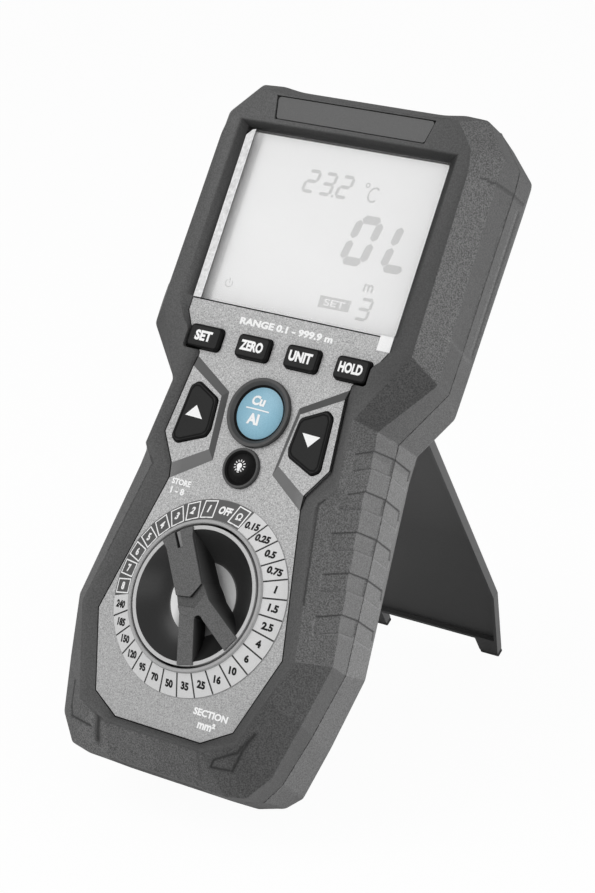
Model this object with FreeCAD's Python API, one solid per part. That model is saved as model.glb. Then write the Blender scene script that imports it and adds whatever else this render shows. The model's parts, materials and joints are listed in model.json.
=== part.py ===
import FreeCAD, Part
import math
import os

# Handheld cable length counter: a two-shell case in a rubber boot, with a display, eight keys, a
# thirty-position selector, two test sockets on its top end and a folding stand on its back.
# Shapes are drawn in the device's own frame, in millimetres: X to the right, Y up along the body,
# Z out of the front face, with the selector's axis at X = Y = 0 and the front plate's face at Z = 0.
# Every shape is then leaned back onto its open stand and set on the floor by one placement.

Vector = FreeCAD.Vector

# ---------------------------------------------------------------- levels along the device's depth
ridge_z = 2.0            # top of the raised border round the front
chamfer_z = -7.0         # front edge of the side walls
parting_z = -17.0        # plane where the two halves meet
rear_edge_z = -28.0      # rear edge of the side walls
back_z = -40.0           # back face

# ---------------------------------------------------------------- walls and clearances
boot_skin = 2.2          # thickness of the rubber boot
case_wall = 2.2          # thickness of the rigid shells
deck_thickness = 3.0     # front shell's deck under the front plate
plate_thickness = 1.5    # front plate
seat_gap = 0.1           # clearance of a seated piece
slide_gap = 0.25         # clearance round a key
reveal = 0.15            # half of the visible line between the two boots
gasket_thickness = 0.8   # squeezed gasket between the rigid shells
gasket_inset = 0.4       # gasket's margin from each face of the shell wall

# ---------------------------------------------------------------- outlines, right half from the top down
# Each outline has the same corners: top pad, top bump, top corner, shoulder, waist, dial bulge,
# bottom corner, bottom pad.
RIDGE = [(0, 165.3), (26, 165.3), (34, 166.0), (38.5, 165.6), (46, 157), (47.4, 149), (48.2, 91.5),
         (48.2, 89.3), (35, 65.6), (36, 56), (37.4, 43.3), (32.3, 37.4), (41.6, -11.1),
         (36.5, -25), (30.6, -40.9), (25, -43.7), (18.7, -46), (17.2, -46), (0, -46)]
CHAMFER = [(0, 169.3), (27.5, 169.3), (35, 170.3), (43.5, 169.9), (53.4, 158.8), (53.6, 151), (55.3, 91.5),
           (55.2, 83.5), (39.4, 65), (41.1, 57.5), (42.4, 43.3), (43.1, 37), (50, -8.8),
           (45.6, -29), (41.3, -46.8), (34.5, -55.3), (27, -56.7), (17, -56.6), (0, -56.6)]
PARTING = [(0, 168.2), (27.5, 168.2), (35, 169.4), (43.5, 169.3), (54.2, 158), (54.7, 151), (54.2, 91.5),
           (54, 83.2), (42.2, 64.2), (42.9, 57), (44.1, 43.3), (44.8, 37), (49.2, -9.7),
           (44.3, -31), (39.4, -47.8), (35, -54.6), (27, -56.9), (17, -57.2), (0, -57.2)]
REAR_EDGE = [(0, 166.5), (27, 166.5), (34, 167.8), (42.5, 167.8), (53.5, 157.4), (53.2, 151), (52.7, 91.5),
             (52.4, 78), (43.1, 63.5), (42.8, 56.5), (43.8, 43), (44.4, 36.5), (49.6, -8.9),
             (44.9, -34), (40.6, -49.4), (36, -54.6), (25.5, -57.2), (17, -57.4), (0, -57.4)]
BACK = [(0, 164.9), (26, 164.9), (33, 165.2), (40.5, 165), (46.8, 159.5), (46.8, 150.5), (45.7, 91.5),
        (45.5, 79.9), (36.4, 65.2), (36.6, 56), (37.9, 43), (38.5, 37), (43, -8.3),
        (38.6, -32), (34.5, -49.8), (29.5, -54.4), (20, -57.3), (16, -57.4), (0, -57.4)]

# Mouth of the raised border round the front plate, at the ridge and at the plate's face.
MOUTH_TOP = [(0, 95), (42.4, 95), (42.4, 92.4), (38.4, 86.2), (32.0, 78), (34.2, 66.2), (36.6, 43.9),
             (31.4, 38.2), (31.3, 36.6), (40.8, -11), (30.0, -40.1), (18.3, -45.3), (0, -45.3)]
MOUTH_PLATE = [(0, 95), (41, 95), (41, 90.6), (36.8, 85), (29.6, 76.5), (29.4, 72), (32, 48.6),
               (25.8, 39.3), (25.5, 34.8), (36, -11.6), (27, -37.1), (16.7, -43.1), (0, -43.1)]

# ---------------------------------------------------------------- display
window_half = 38.2       # half width of the clear lens
window_bottom = 93.9     # the front plate's top edge
window_top = 152.7
window_corner = 2.0
window_sink = 1.5        # lens face below the front plate's face
window_thickness = 1.7
display_mouth_half = 42.4
display_mouth_top = 155.3
glass_half = 36.0        # liquid-crystal cell
glass_bottom = 95.2
glass_top = 151.2
glass_thickness = 2.8
view_margin = 1.2        # deck's ledge over the cell's edge
backlight_thickness = 2.8
holder_wall = 2.0
strip_width = 2.0        # elastomer contact strip
film_thickness = 0.12
film_inset = 0.6
tab_size = (5.1, 5.2)
tab_root = 1.5           # width of the fold that carries the tab

# ---------------------------------------------------------------- name plate
name_top = 164.3
name_bottom = 156.9
name_top_half = 30.2
name_bottom_half = 28.5
name_gap = 0.4
name_thickness = 1.1
name_sink = 0.4
name_corner = 1.0

# ---------------------------------------------------------------- keys
key_travel = 0.8
flange_thickness = 1.0
flange_lip = 0.9
flange_drop = 0.3        # flange below the deck at rest
stem_radius = 1.5
stem_length = 1.6        # below the flange
row_y = 81.3             # row of four keys
row_x = (-28.6, -9.5, 9.5, 28.6)
row_size = (12.5, 7.7)
row_corner = 1.5
row_crown = 1.9          # key's top above the plate's face
row_round = 0.9          # of the top's edge
row_names = ("key_set", "key_zero", "key_unit", "key_hold")
side_key = [(25, 67), (27.6, 65), (29, 47.5), (26.3, 45.8), (16, 50), (15.2, 52.5), (16, 62.6)]
side_crown = 1.9
side_corner = 2.0
side_round = 0.7
pad_height = 1.1         # raised pads round the side keys
PAD_FOOT = [(36, 78.8), (13.7, 65.9), (11.6, 43.3), (36, 27.7)]
PAD_TOP = [(36, 75.0), (15.4, 63.9), (13.6, 46.3), (36, 33.2)]
material_y = 61.4        # round key that picks the conductor's material
material_radius = 8.5
material_ring = 11.4
material_ring_height = 1.5
material_edge = 0.0
material_crown = 1.5
light_y = 42.9           # small round key for the backlight
light_radius = 5.0
light_ring = 6.6
light_ring_height = 1.2
light_edge = 0.6
light_crown = 2.0

# ---------------------------------------------------------------- selector
knob_radius = 22.5
knob_gap = 0.8           # round the knob
collar_wall = 0.8        # scale ring's collar through the front plate
scale_foot = 0.5         # from the collar to the inner edge of the cone
scale_width = 7.4
scale_height = 3.1
scale_edge = 0.3
scale_lip = 0.25         # bevel of the lip
lip_top = 4.0            # thin bright lip round the knob
trim_width = 1.2         # bright ring round the bowl's rim
trim_height = 2.4        # below the bowl's rim
trim_top = 4.0
bowl_rim_z = 3.9
bowl_depth = 2.0         # bowl's flat floor below the plate's face
bowl_floor = 12.4        # radius of the flat floor
bowl_steps = 6           # rings of the bowl's curved wall
bowl_wall = 2.0
bowl_shoulder = -1.0     # low edge of the bowl's upright outer wall
bowl_heel = 14.3         # radius of the flat underside
well_clearance = 1.4     # under the bowl
well_wall = 1.5
shaft_radius = 3.9
shaft_fit = 0.06
neck_radius = 2.5
neck_length = 1.1        # into the bowl's underside
handle_peak = 6.8        # handle's ridge over the centre
handle_end = 4.4         # handle's height at its ends
pointer_angle = 126.0    # the pointer stands at user position 3
handle_gap = 0.1         # between the handle's tips and the knob's rim
pointer_half = 5.9
pointer_neck = (18.3, 4.7)
pointer_waist = (1.0, 4.5)
leg_half = 2.75
leg_spread = 18.5
leg_offset = 1.8
leg_start = 4.0
leg_inset = 1.0          # legs end short of the pointer's reach
crotch = 7.2
slot_start = 16.8        # notch in the pointer, open at its tip
slot_half = 0.9
slot_depth = 1.0        # at the tip
disc_radius = 16.9       # contact rotor under the well
disc_thickness = 2.0
wiper_count = 3
wiper_inner = 6.0        # wipers' reach from the axis
wiper_margin = 3.9       # from their tips to the rotor's rim
wiper_half = 1.0
detent_inner = 17.7
detent_outer = 20.6
detent_depth = 0.4
detent_count = 30
detent_height = 2.2
ball_radius = 1.0        # detent balls in the rotor's rim
screw_radius = 1.0
knob_screw_head = 2.2

# ---------------------------------------------------------------- electronics
board_front_z = -13.4
board_thickness = 1.6
board_margin = 1.0
board_top = 154.0
switch_size = 6.0
switch_height = 3.9
plunger_radius = 1.7
plunger_gap = 0.1        # left over plunger when a key is fully pressed
buzzer_radius = 7.0
buzzer_height = 4.5
buzzer_port = 1.0
buzzer_roof = 1.5
buzzer_at = (27.0, 74.0)
can_size = (26.0, 30.0, 3.2)
can_y = 112.0
can_wall = 0.4

# ---------------------------------------------------------------- case screws
boss_radius = 3.2
boss_hole = 1.25
BOSSES = [(30.0, 158.6), (26.0, -38.0)]
screw_shank = 1.2
screw_head = 2.6
screw_head_height = 1.8
screw_reach = 9.0        # into the front boss
screw_sink = 0.4         # head below the panel's face
screw_cross = (1.8, 0.35, 0.9)   # half length, half width and depth of the drive's slots

# ---------------------------------------------------------------- test sockets on the top end
socket_x = 12.0
socket_z = -24.5
socket_bore = 2.0        # takes a 4 mm plug
socket_tube = 3.2
socket_length = 12.0
socket_end = 1.0         # closed end of a sleeve
shroud_radius = 6.0
shroud_bore = 4.2
shroud_mouth = 3.0       # depth of the shroud's mouth above the sleeve
block_half = 20.0
block_half_height = 6.8
block_depth = 11.0
block_gap = 0.5          # to the inner face of the shell's end wall

# ---------------------------------------------------------------- grip recesses in the boot
# Each finger recess runs round the side wall; its top edge shifts along Y with the height.
RECESS_LINE = [(-1.0, -3.3), (chamfer_z, 0.0), (parting_z, 0.2), (rear_edge_z, -1.0)]
recess_tops = (59.3, 46.3, 33.4, 20.6, 7.5)
recess_height = 5.7
recess_depth = 0.45
panel_top = 150.0        # long shallow recess beside the display
panel_bottom = 97.0
panel_front_z = -1.5
panel_rear_z = -24.5
panel_depth = 0.4

# ---------------------------------------------------------------- battery bay
battery_size = (26.5, 48.5, 17.5)
battery_bottom = -36.0
battery_play = 0.5
battery_corner = 2.0
bay_wall = 1.5
bay_clearance = 0.5      # under the board
snap_thickness = 3.0
snap_margin = 1.0
cover_half = 19.0
cover_bottom = -44.0
cover_top = 29.0
cover_thickness = 1.8
cover_gap = 0.2
cover_screw_x = 14.0
cover_screw_inset = 4.0
pad_thickness = 1.0
pad_margin = 6.0         # battery's ends that the foam leaves free
stub_radius = 2.6        # posts that take the cover's screws
stub_height = 6.0
stub_end = 1.0           # left closed under the screw's hole
cover_shank = 1.0        # radius of the cover's screws
cover_hole = 1.3
cover_sink = 2.3         # radius of the screw heads' hollow
cover_sink_depth = 1.0
cover_slot = (1.5, 0.25, 0.6)
thumb_rib_half = 9.0
thumb_rib = (1.0, 0.4)   # width and depth of a thumb groove
THUMB_RIB_Y = (10.0, 12.5, 15.0)
back_margin = 3.6        # boot's border round the rigid back panel
panel_sink = 0.3

# ---------------------------------------------------------------- stand
open_angle = 64.0
hinge_y = 73.5
hinge_z = -43.0
leaf_half = 36.3
leaf_thickness = 3.0
leaf_straight = 85.0     # along the leaf, from the hinge
leaf_middle = 114.0
foot_inner = 19.8
foot_outer = 27.3
foot_reach = 122.2
foot_pad = 1.6
leaf_rim = 1.2
leaf_pocket = 1.5
barrel_radius = 2.6
pin_radius = 1.2
pin_fit = 0.05
ear_x = 22.0
ear_width = 6.0
ear_gap = 0.3
ear_room = 1.2           # round an ear's end
pin_overhang = 6.0       # beyond each ear, inside the leaf's barrel

# Sizes and levels that follow from those above.
gap_radius = knob_radius + knob_gap
collar_radius = gap_radius + collar_wall
scale_inner = collar_radius + scale_foot
scale_outer = scale_inner + scale_width
bowl_edge = knob_radius - trim_width
bowl_under = -bowl_depth - bowl_wall
handle_reach = knob_radius - handle_gap
well_floor = bowl_under - well_clearance
well_bottom = well_floor - well_wall
rotor_top = well_bottom - 2 * seat_gap
rotor_low = rotor_top - disc_thickness
ball_pocket = ball_radius + seat_gap
widest = max(x for x, y in CHAMFER)
highest = max(y for x, y in CHAMFER)
deck_top = -plate_thickness
deck_bottom = deck_top - deck_thickness
board_back_z = board_front_z - board_thickness
window_face = -window_sink
front_case_end = parting_z + gasket_thickness / 2
rear_case_end = parting_z - gasket_thickness / 2
shell_inset = boot_skin + seat_gap
cavity_inset = shell_inset + case_wall
panel_seat = back_z + boot_skin
inner_back = panel_seat + case_wall
panel_face = back_z + panel_sink
cover_under = panel_face + cover_thickness
flange_top = deck_bottom - flange_drop
flange_low = flange_top - flange_thickness
stem_bottom = flange_low - stem_length
bay_top = board_back_z - bay_clearance
cover_screw_y = cover_top - cover_screw_inset
sleeve_reach = socket_length - socket_end


# ================================================================ drawing helpers
def mirrored(half):
    """Closes a right half outline with its mirror image."""
    left = [(-x, y) for x, y in reversed(half) if x > 0]
    return list(half) + left


def between(upper, lower, upper_z, lower_z, z):
    """Outline at height z on the straight wall between two outlines."""
    share = (z - upper_z) / (lower_z - upper_z)
    return [(a[0] + share * (b[0] - a[0]), a[1] + share * (b[1] - a[1])) for a, b in zip(upper, lower)]


def area(points):
    total = 0.0
    for (x0, y0), (x1, y1) in zip(points, points[1:] + points[:1]):
        total += x0 * y1 - x1 * y0
    return total / 2


def inset(points, distance):
    """Moves every side of a closed outline inwards; a negative distance grows it."""
    side = 1.0 if area(points) > 0 else -1.0
    moved = []
    for i, (x, y) in enumerate(points):
        before = points[i - 1]
        after = points[(i + 1) % len(points)]
        ax, ay = x - before[0], y - before[1]
        bx, by = after[0] - x, after[1] - y
        la, lb = math.hypot(ax, ay), math.hypot(bx, by)
        na = (-side * ay / la, side * ax / la)
        nb = (-side * by / lb, side * bx / lb)
        scale = distance / (1 + na[0] * nb[0] + na[1] * nb[1])
        moved.append((x + (na[0] + nb[0]) * scale, y + (na[1] + nb[1]) * scale))
    return moved


def wire(points, z):
    corners = [Vector(x, y, z) for x, y in points]
    return Part.makePolygon(corners + corners[:1])


def loft(*levels):
    """Straight-walled solid through (outline, height) levels."""
    return Part.makeLoft([wire(points, z) for points, z in levels], True, True)


def prism(points, low, high):
    face = Part.Face(wire(points, low))
    return face.extrude(Vector(0, 0, high - low))


def block(x0, x1, y0, y1, z0, z1):
    return Part.makeBox(x1 - x0, y1 - y0, z1 - z0, Vector(x0, y0, z0))


def disc(x, y, radius, low, high):
    return Part.makeCylinder(radius, high - low, Vector(x, y, low))


def along_y(x, z, radius, low, high):
    return Part.makeCylinder(radius, high - low, Vector(x, low, z), Vector(0, 1, 0))


def along_x(y, z, radius, low, high):
    return Part.makeCylinder(radius, high - low, Vector(low, y, z), Vector(1, 0, 0))


def turned(profile):
    """Solid of revolution about Z from (radius, height) corners."""
    corners = [Vector(r, 0, z) for r, z in profile]
    face = Part.Face(Part.makePolygon(corners + corners[:1]))
    return face.revolve(Vector(0, 0, 0), Vector(0, 0, 1), 360)


def upright_edges(shape, low, high):
    return [e for e in shape.Edges
            if abs(e.BoundBox.ZLength - (high - low)) < 1e-6 and e.BoundBox.XLength < 1e-6
            and e.BoundBox.YLength < 1e-6]


def rounded(x0, x1, y0, y1, z0, z1, radius):
    body = block(x0, x1, y0, y1, z0, z1)
    return body.makeFillet(radius, upright_edges(body, z0, z1))


def rounded_prism(points, low, high, radius):
    body = prism(points, low, high)
    return body.makeFillet(radius, upright_edges(body, low, high))


def joined(shapes):
    whole = shapes[0]
    if len(shapes) > 1:
        whole = whole.fuse(shapes[1:])
    return whole.removeSplitter()


def flipped(shape):
    """Mirror image across the device's middle plane."""
    return shape.mirror(Vector(0, 0, 0), Vector(1, 0, 0))


# ================================================================ outlines of the shells
def outline(points, distance=0.0):
    closed = mirrored(points)
    return inset(closed, distance) if distance else closed


def front_levels(distance, top, bottom):
    """Levels of the front half's wall between two heights below the ridge."""
    upper = between(RIDGE, CHAMFER, ridge_z, chamfer_z, top)
    lower = between(CHAMFER, PARTING, chamfer_z, parting_z, bottom)
    return [(outline(upper, distance), top), (outline(CHAMFER, distance), chamfer_z),
            (outline(lower, distance), bottom)]


def rear_levels(distance, top, bottom):
    upper = between(PARTING, REAR_EDGE, parting_z, rear_edge_z, top)
    lower = between(REAR_EDGE, BACK, rear_edge_z, back_z, bottom)
    return [(outline(upper, distance), top), (outline(REAR_EDGE, distance), rear_edge_z),
            (outline(lower, distance), bottom)]


def side_band(points):
    """Solid across the full width from a closed outline of (y, z) points."""
    corners = [Vector(-widest, y, z) for y, z in points]
    face = Part.Face(Part.makePolygon(corners + corners[:1]))
    return face.extrude(Vector(2 * widest, 0, 0))


def finger_band(top_y):
    upper = [(top_y + drop, z) for z, drop in RECESS_LINE]
    lower = [(y - recess_height, z) for y, z in reversed(upper)]
    return side_band(upper + lower)


def grip_recesses(outer, finger_levels, panel_levels):
    """Shallow finger recesses and the panel beside the display, as solids to cut from a boot."""
    fingers = outer.cut(loft(*finger_levels))
    panel = outer.cut(loft(*panel_levels))
    band = side_band([(panel_bottom, panel_front_z), (panel_top, panel_front_z),
                      (panel_top, panel_rear_z), (panel_bottom, panel_rear_z)])
    return [fingers.common(finger_band(y)) for y in recess_tops] + [panel.common(band)]


def display_mouth(low):
    top = [(-display_mouth_half, window_bottom), (display_mouth_half, window_bottom),
           (display_mouth_half, display_mouth_top), (-display_mouth_half, display_mouth_top)]
    floor = [(-window_half, window_bottom), (window_half, window_bottom),
             (window_half, window_top), (-window_half, window_top)]
    return loft((top, ridge_z), (floor, low))


def side_pads(edge):
    """Raised pads round the two side keys, cut off along the plate's edge."""
    pad = loft((PAD_TOP, pad_height), (PAD_FOOT, 0.0)).common(prism(edge, 0.0, pad_height))
    return [pad, flipped(pad)]


def side_holes(low, high):
    hole = rounded_prism(inset(side_key, -slide_gap), low, high, side_corner + slide_gap)
    return [hole, flipped(hole)]


def row_holes(low, high):
    half_x, half_y = row_size[0] / 2 + slide_gap, row_size[1] / 2 + slide_gap
    return [rounded(x - half_x, x + half_x, row_y - half_y, row_y + half_y, low, high, row_corner + slide_gap)
            for x in row_x]


def screw_columns(low, high, radius):
    return [disc(side * x, y, radius, low, high) for x, y in BOSSES for side in (-1, 1)]


# ================================================================ front half
def make_front_boot():
    """Rubber frame round the front: raised border, front chamfer and side walls down to the parting."""
    outer = loft((outline(RIDGE), ridge_z), (outline(CHAMFER), chamfer_z),
                 (outline(between(CHAMFER, PARTING, chamfer_z, parting_z, parting_z + reveal)),
                  parting_z + reveal))
    hollow = loft(*front_levels(boot_skin, deck_top, parting_z))
    plate_mouth = loft((outline(MOUTH_TOP), ridge_z), (outline(MOUTH_PLATE), 0.0))
    plate_bed = prism(outline(MOUTH_PLATE), deck_top, 0.0)
    name_bed = prism(name_outline(name_gap), ridge_z - name_sink - name_thickness, ridge_z)
    cuts = [hollow, plate_mouth, plate_bed, display_mouth(deck_top), name_bed]
    cuts += row_holes(deck_top, ridge_z)
    cuts += grip_recesses(outer, front_levels(recess_depth, ridge_z, parting_z),
                          front_levels(panel_depth, ridge_z, parting_z))
    return outer.cut(cuts)


def name_outline(grow):
    shape = [(-name_bottom_half, name_bottom), (name_bottom_half, name_bottom),
             (name_top_half, name_top), (-name_top_half, name_top)]
    return inset(shape, -grow) if grow else shape


def make_front_case():
    """Rigid front shell: deck, knob well, screw bosses and all the openings for keys and display."""
    body = loft(*front_levels(shell_inset, deck_top, front_case_end))
    cavity = loft(*front_levels(cavity_inset, deck_bottom, parting_z))
    body = body.cut(cavity)
    well_top = deck_bottom
    body = body.fuse([disc(0, 0, gap_radius + well_wall, well_bottom, well_top)]
                     + screw_columns(board_back_z - seat_gap, deck_bottom, boss_radius))
    cuts = [disc(0, 0, gap_radius, well_floor, deck_top),
            disc(0, 0, shaft_radius + shaft_fit, well_bottom, well_floor),
            rounded(-window_half - seat_gap, window_half + seat_gap, window_bottom - seat_gap,
                    window_top + seat_gap, window_face - window_thickness, deck_top + seat_gap,
                    window_corner),
            block(-glass_half + view_margin, glass_half - view_margin, glass_bottom + view_margin,
                  glass_top - view_margin, deck_bottom, deck_top),
            disc(0, material_y, material_radius + slide_gap, deck_bottom, deck_top),
            disc(0, light_y, light_radius + slide_gap, deck_bottom, deck_top)]
    cuts += row_holes(deck_bottom, deck_top) + side_holes(deck_bottom, deck_top)
    cuts += screw_columns(board_back_z - seat_gap, board_back_z + screw_reach + seat_gap, boss_hole)
    return body.cut(cuts)


def make_faceplate():
    """Front plate with a raised pad round each side key."""
    edge = outline(MOUTH_PLATE, seat_gap)
    body = prism(edge, deck_top, 0.0)
    cuts = [block(-display_mouth_half, display_mouth_half, window_bottom, display_mouth_top, deck_top, 0.0),
            disc(0, 0, collar_radius + seat_gap, deck_top, 0.0),
            disc(0, material_y, material_ring + seat_gap, deck_top, 0.0),
            disc(0, light_y, light_ring + seat_gap, deck_top, 0.0)]
    cuts += side_holes(deck_top, pad_height) + row_holes(deck_top, 0.0)
    return body.fuse(side_pads(edge)).cut(cuts)


def make_scale_ring():
    profile = [(scale_outer, 0.0), (scale_outer, scale_edge), (scale_inner, scale_height),
               (scale_inner - scale_lip, lip_top), (gap_radius + scale_lip, lip_top),
               (gap_radius, lip_top - scale_lip), (gap_radius, deck_top), (collar_radius, deck_top),
               (collar_radius, 0.0)]
    return turned(profile)


def make_name_plate():
    top = ridge_z - name_sink
    return rounded_prism(name_outline(0.0), top - name_thickness, top, name_corner)


def make_collar(y, outer, bore, height, edge):
    """Dark collar round a round key: a funnel seated on the deck."""
    body = disc(0, y, outer, deck_top, height)
    mouth = Part.makeCone(bore, bore + (height - edge), height - edge, Vector(0, y, edge))
    return body.cut([disc(0, y, bore, deck_top, height), mouth])


# ================================================================ display stack
def make_window():
    return rounded(-window_half, window_half, window_bottom, window_top,
                   window_face - window_thickness, window_face, window_corner)


def make_film():
    """Peel-off film on the lens with its pull tab folded up over the front plate."""
    low = window_face
    sheet = rounded(-window_half + film_inset, window_half - film_inset, window_bottom + film_inset,
                    window_top - film_inset, low, low + film_thickness, window_corner)
    root = window_half - film_inset - window_corner
    tab_left = root - tab_root
    foot = block(tab_left, root, window_bottom + film_thickness, window_bottom + film_inset,
                 low, low + film_thickness)
    riser = block(tab_left, root, window_bottom + film_thickness, window_bottom + 2 * film_thickness,
                  low, film_thickness)
    flap = block(tab_left, tab_left + tab_size[0], window_bottom + film_thickness - tab_size[1],
                 window_bottom + 2 * film_thickness, seat_gap, seat_gap + film_thickness)
    return joined([sheet, foot, riser, flap])


def make_glass():
    top = deck_bottom - seat_gap
    return block(-glass_half, glass_half, glass_bottom, glass_top, top - glass_thickness, top)


def make_backlight():
    top = deck_bottom - glass_thickness - 2 * seat_gap
    margin = strip_width + 2 * seat_gap
    return block(-glass_half, glass_half, glass_bottom + margin, glass_top - margin,
                 top - backlight_thickness, top)


def make_holder():
    """Moulded frame that stands on the board and carries the display cell."""
    grow = seat_gap + holder_wall
    low = board_front_z + seat_gap
    frame = block(-glass_half - grow, glass_half + grow, glass_bottom - grow, glass_top + grow,
                  low, deck_bottom - seat_gap)
    well = block(-glass_half - seat_gap, glass_half + seat_gap, glass_bottom - seat_gap,
                 glass_top + seat_gap, low, deck_bottom - seat_gap)
    shelf_top = deck_bottom - glass_thickness - backlight_thickness - 3 * seat_gap
    shelf = block(-glass_half - seat_gap, glass_half + seat_gap, glass_bottom + strip_width + 2 * seat_gap,
                  glass_top - strip_width - 2 * seat_gap, low, shelf_top)
    hollow = block(-glass_half + holder_wall, glass_half - holder_wall,
                   glass_bottom + strip_width + holder_wall, glass_top - strip_width - holder_wall,
                   low, shelf_top)
    return frame.cut(well).fuse(shelf).cut(hollow)


def make_strips():
    top = deck_bottom - glass_thickness - 2 * seat_gap
    half = glass_half - holder_wall
    low = block(-half, half, glass_bottom, glass_bottom + strip_width, board_front_z + seat_gap, top)
    high = block(-half, half, glass_top - strip_width, glass_top, board_front_z + seat_gap, top)
    return Part.makeCompound([low, high])


# ================================================================ electronics
def make_board():
    level = between(CHAMFER, PARTING, chamfer_z, parting_z, board_back_z)
    shape = outline(level, cavity_inset + board_margin)
    board = prism(shape, board_back_z, board_front_z)
    strip = block(-widest, widest, board_top, highest, board_back_z, board_front_z)
    return board.cut([strip] + screw_columns(board_back_z, board_front_z, boss_radius + 2 * seat_gap))


def side_centre():
    xs, ys = zip(*side_key)
    return sum(xs) / len(xs), sum(ys) / len(ys)


def key_centres():
    x, y = side_centre()
    return [(row, row_y) for row in row_x] + [(-x, y), (x, y), (0, material_y), (0, light_y)]


def make_switches():
    """Eight tact switches on the board, one under each key."""
    parts = []
    half = switch_size / 2
    top = board_front_z + switch_height
    plunger_top = stem_bottom - key_travel - plunger_gap
    for x, y in key_centres():
        body = block(x - half, x + half, y - half, y + half, board_front_z, top)
        parts.append(body.fuse(disc(x, y, plunger_radius, top, plunger_top)))
    return Part.makeCompound(parts)


def make_buzzer():
    x, y = buzzer_at
    body = disc(x, y, buzzer_radius, board_back_z - buzzer_height, board_back_z)
    return body.cut(disc(x, y, buzzer_port, board_back_z - buzzer_height, board_back_z - buzzer_roof))


def make_shield():
    dx, dy, dz = can_size
    body = block(-dx / 2, dx / 2, can_y - dy / 2, can_y + dy / 2, board_back_z - dz, board_back_z)
    inner = block(-dx / 2 + can_wall, dx / 2 - can_wall, can_y - dy / 2 + can_wall,
                  can_y + dy / 2 - can_wall, board_back_z - dz + can_wall, board_back_z)
    return body.cut(inner)


def make_detent_ring():
    """Toothed ring on the board's side of the well; the rotor's balls click into its hollows."""
    low = well_bottom - seat_gap - detent_height
    ring = disc(0, 0, detent_outer, low, well_bottom - seat_gap)
    ring = ring.cut(disc(0, 0, detent_inner, low, well_bottom - seat_gap))
    hollows = []
    for step in range(detent_count):
        angle = math.radians(pointer_angle + step * 360.0 / detent_count)
        reach = detent_inner + detent_depth - ball_pocket
        hollows.append(disc(reach * math.cos(angle), reach * math.sin(angle), ball_pocket,
                            low, well_bottom - seat_gap))
    return ring.cut(hollows)


# ================================================================ keys
def with_stem(cap, flange, x, y):
    stem = disc(x, y, stem_radius, stem_bottom, flange_low)
    return joined([cap, flange, stem])


def softened(body, top, radius):
    edges = [e for e in body.Edges if e.BoundBox.ZLength < 1e-6 and abs(e.BoundBox.ZMax - top) < 1e-6]
    return body.makeFillet(radius, edges)


def make_row_key(x):
    dx, dy = row_size[0] / 2, row_size[1] / 2
    cap = rounded(x - dx, x + dx, row_y - dy, row_y + dy, flange_top, row_crown, row_corner)
    cap = softened(cap, row_crown, row_round)
    reach_x, reach_y = dx + flange_lip, dy + flange_lip
    flange = block(x - reach_x, x + reach_x, row_y - reach_y, row_y + reach_y, flange_low, flange_top)
    return with_stem(cap, flange, x, row_y)


def make_side_key():
    cap = rounded_prism(side_key, flange_top, side_crown, side_corner)
    cap = softened(cap, side_crown, side_round)
    flange = prism(inset(side_key, -flange_lip), flange_low, flange_top)
    return with_stem(cap, flange, *side_centre())


def make_round_key(y, radius, edge, crown):
    rise = crown - edge
    sphere_radius = (radius * radius + rise * rise) / (2 * rise)
    dome = Part.makeSphere(sphere_radius, Vector(0, y, crown - sphere_radius))
    cap = disc(0, y, radius, flange_top, crown + 1).common(dome)
    flange = disc(0, y, radius + flange_lip, flange_low, flange_top)
    return with_stem(cap, flange, 0, y)


# ================================================================ selector
def bowl_profile():
    """Inner surface of the knob's bowl, from the rim to the centre."""
    profile = []
    for step in range(bowl_steps + 1):
        share = step / bowl_steps
        radius = bowl_edge - (bowl_edge - bowl_floor) * share
        fall = (bowl_rim_z + bowl_depth) * (1 - (1 - share) ** 2)
        profile.append((radius, bowl_rim_z - fall))
    return profile + [(0.0, -bowl_depth)]


def make_bowl():
    body = turned(bowl_profile() + [(0.0, bowl_under), (bowl_heel, bowl_under), (bowl_edge, bowl_shoulder)])
    return body.cut(disc(0, 0, neck_radius + seat_gap / 2, bowl_under, bowl_under + neck_length + seat_gap))


def make_trim_ring():
    foot = bowl_rim_z - trim_height
    return turned([(bowl_edge, foot), (knob_radius, foot), (knob_radius, trim_top), (bowl_edge, bowl_rim_z)])


def handle_frame(along, across):
    """Point in the device's frame from distances along and across the pointer's direction."""
    angle = math.radians(pointer_angle)
    cos_a, sin_a = math.cos(angle), math.sin(angle)
    return (along * cos_a + across * sin_a, along * sin_a - across * cos_a)


def handle_outline():
    """Plan of the handle: a broad pointer and two legs."""
    spread = math.radians(leg_spread)
    tip_shoulder = math.sqrt(handle_reach ** 2 - pointer_half ** 2)
    right = [(handle_reach, 0.0), (tip_shoulder, pointer_half), pointer_neck, pointer_waist]

    def leg(distance, side):
        return (-distance * math.cos(spread) + side * leg_half * math.sin(spread),
                distance * math.sin(spread) + side * leg_half * math.cos(spread) + leg_offset)

    leg_reach = handle_reach - leg_inset
    right += [leg(leg_start, 1), leg(leg_reach, 1), leg(leg_reach, -1)]
    left = [(along, -across) for along, across in reversed(right[1:])]
    return [handle_frame(a, c) for a, c in right + [(-crotch, 0.0)] + left]


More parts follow.
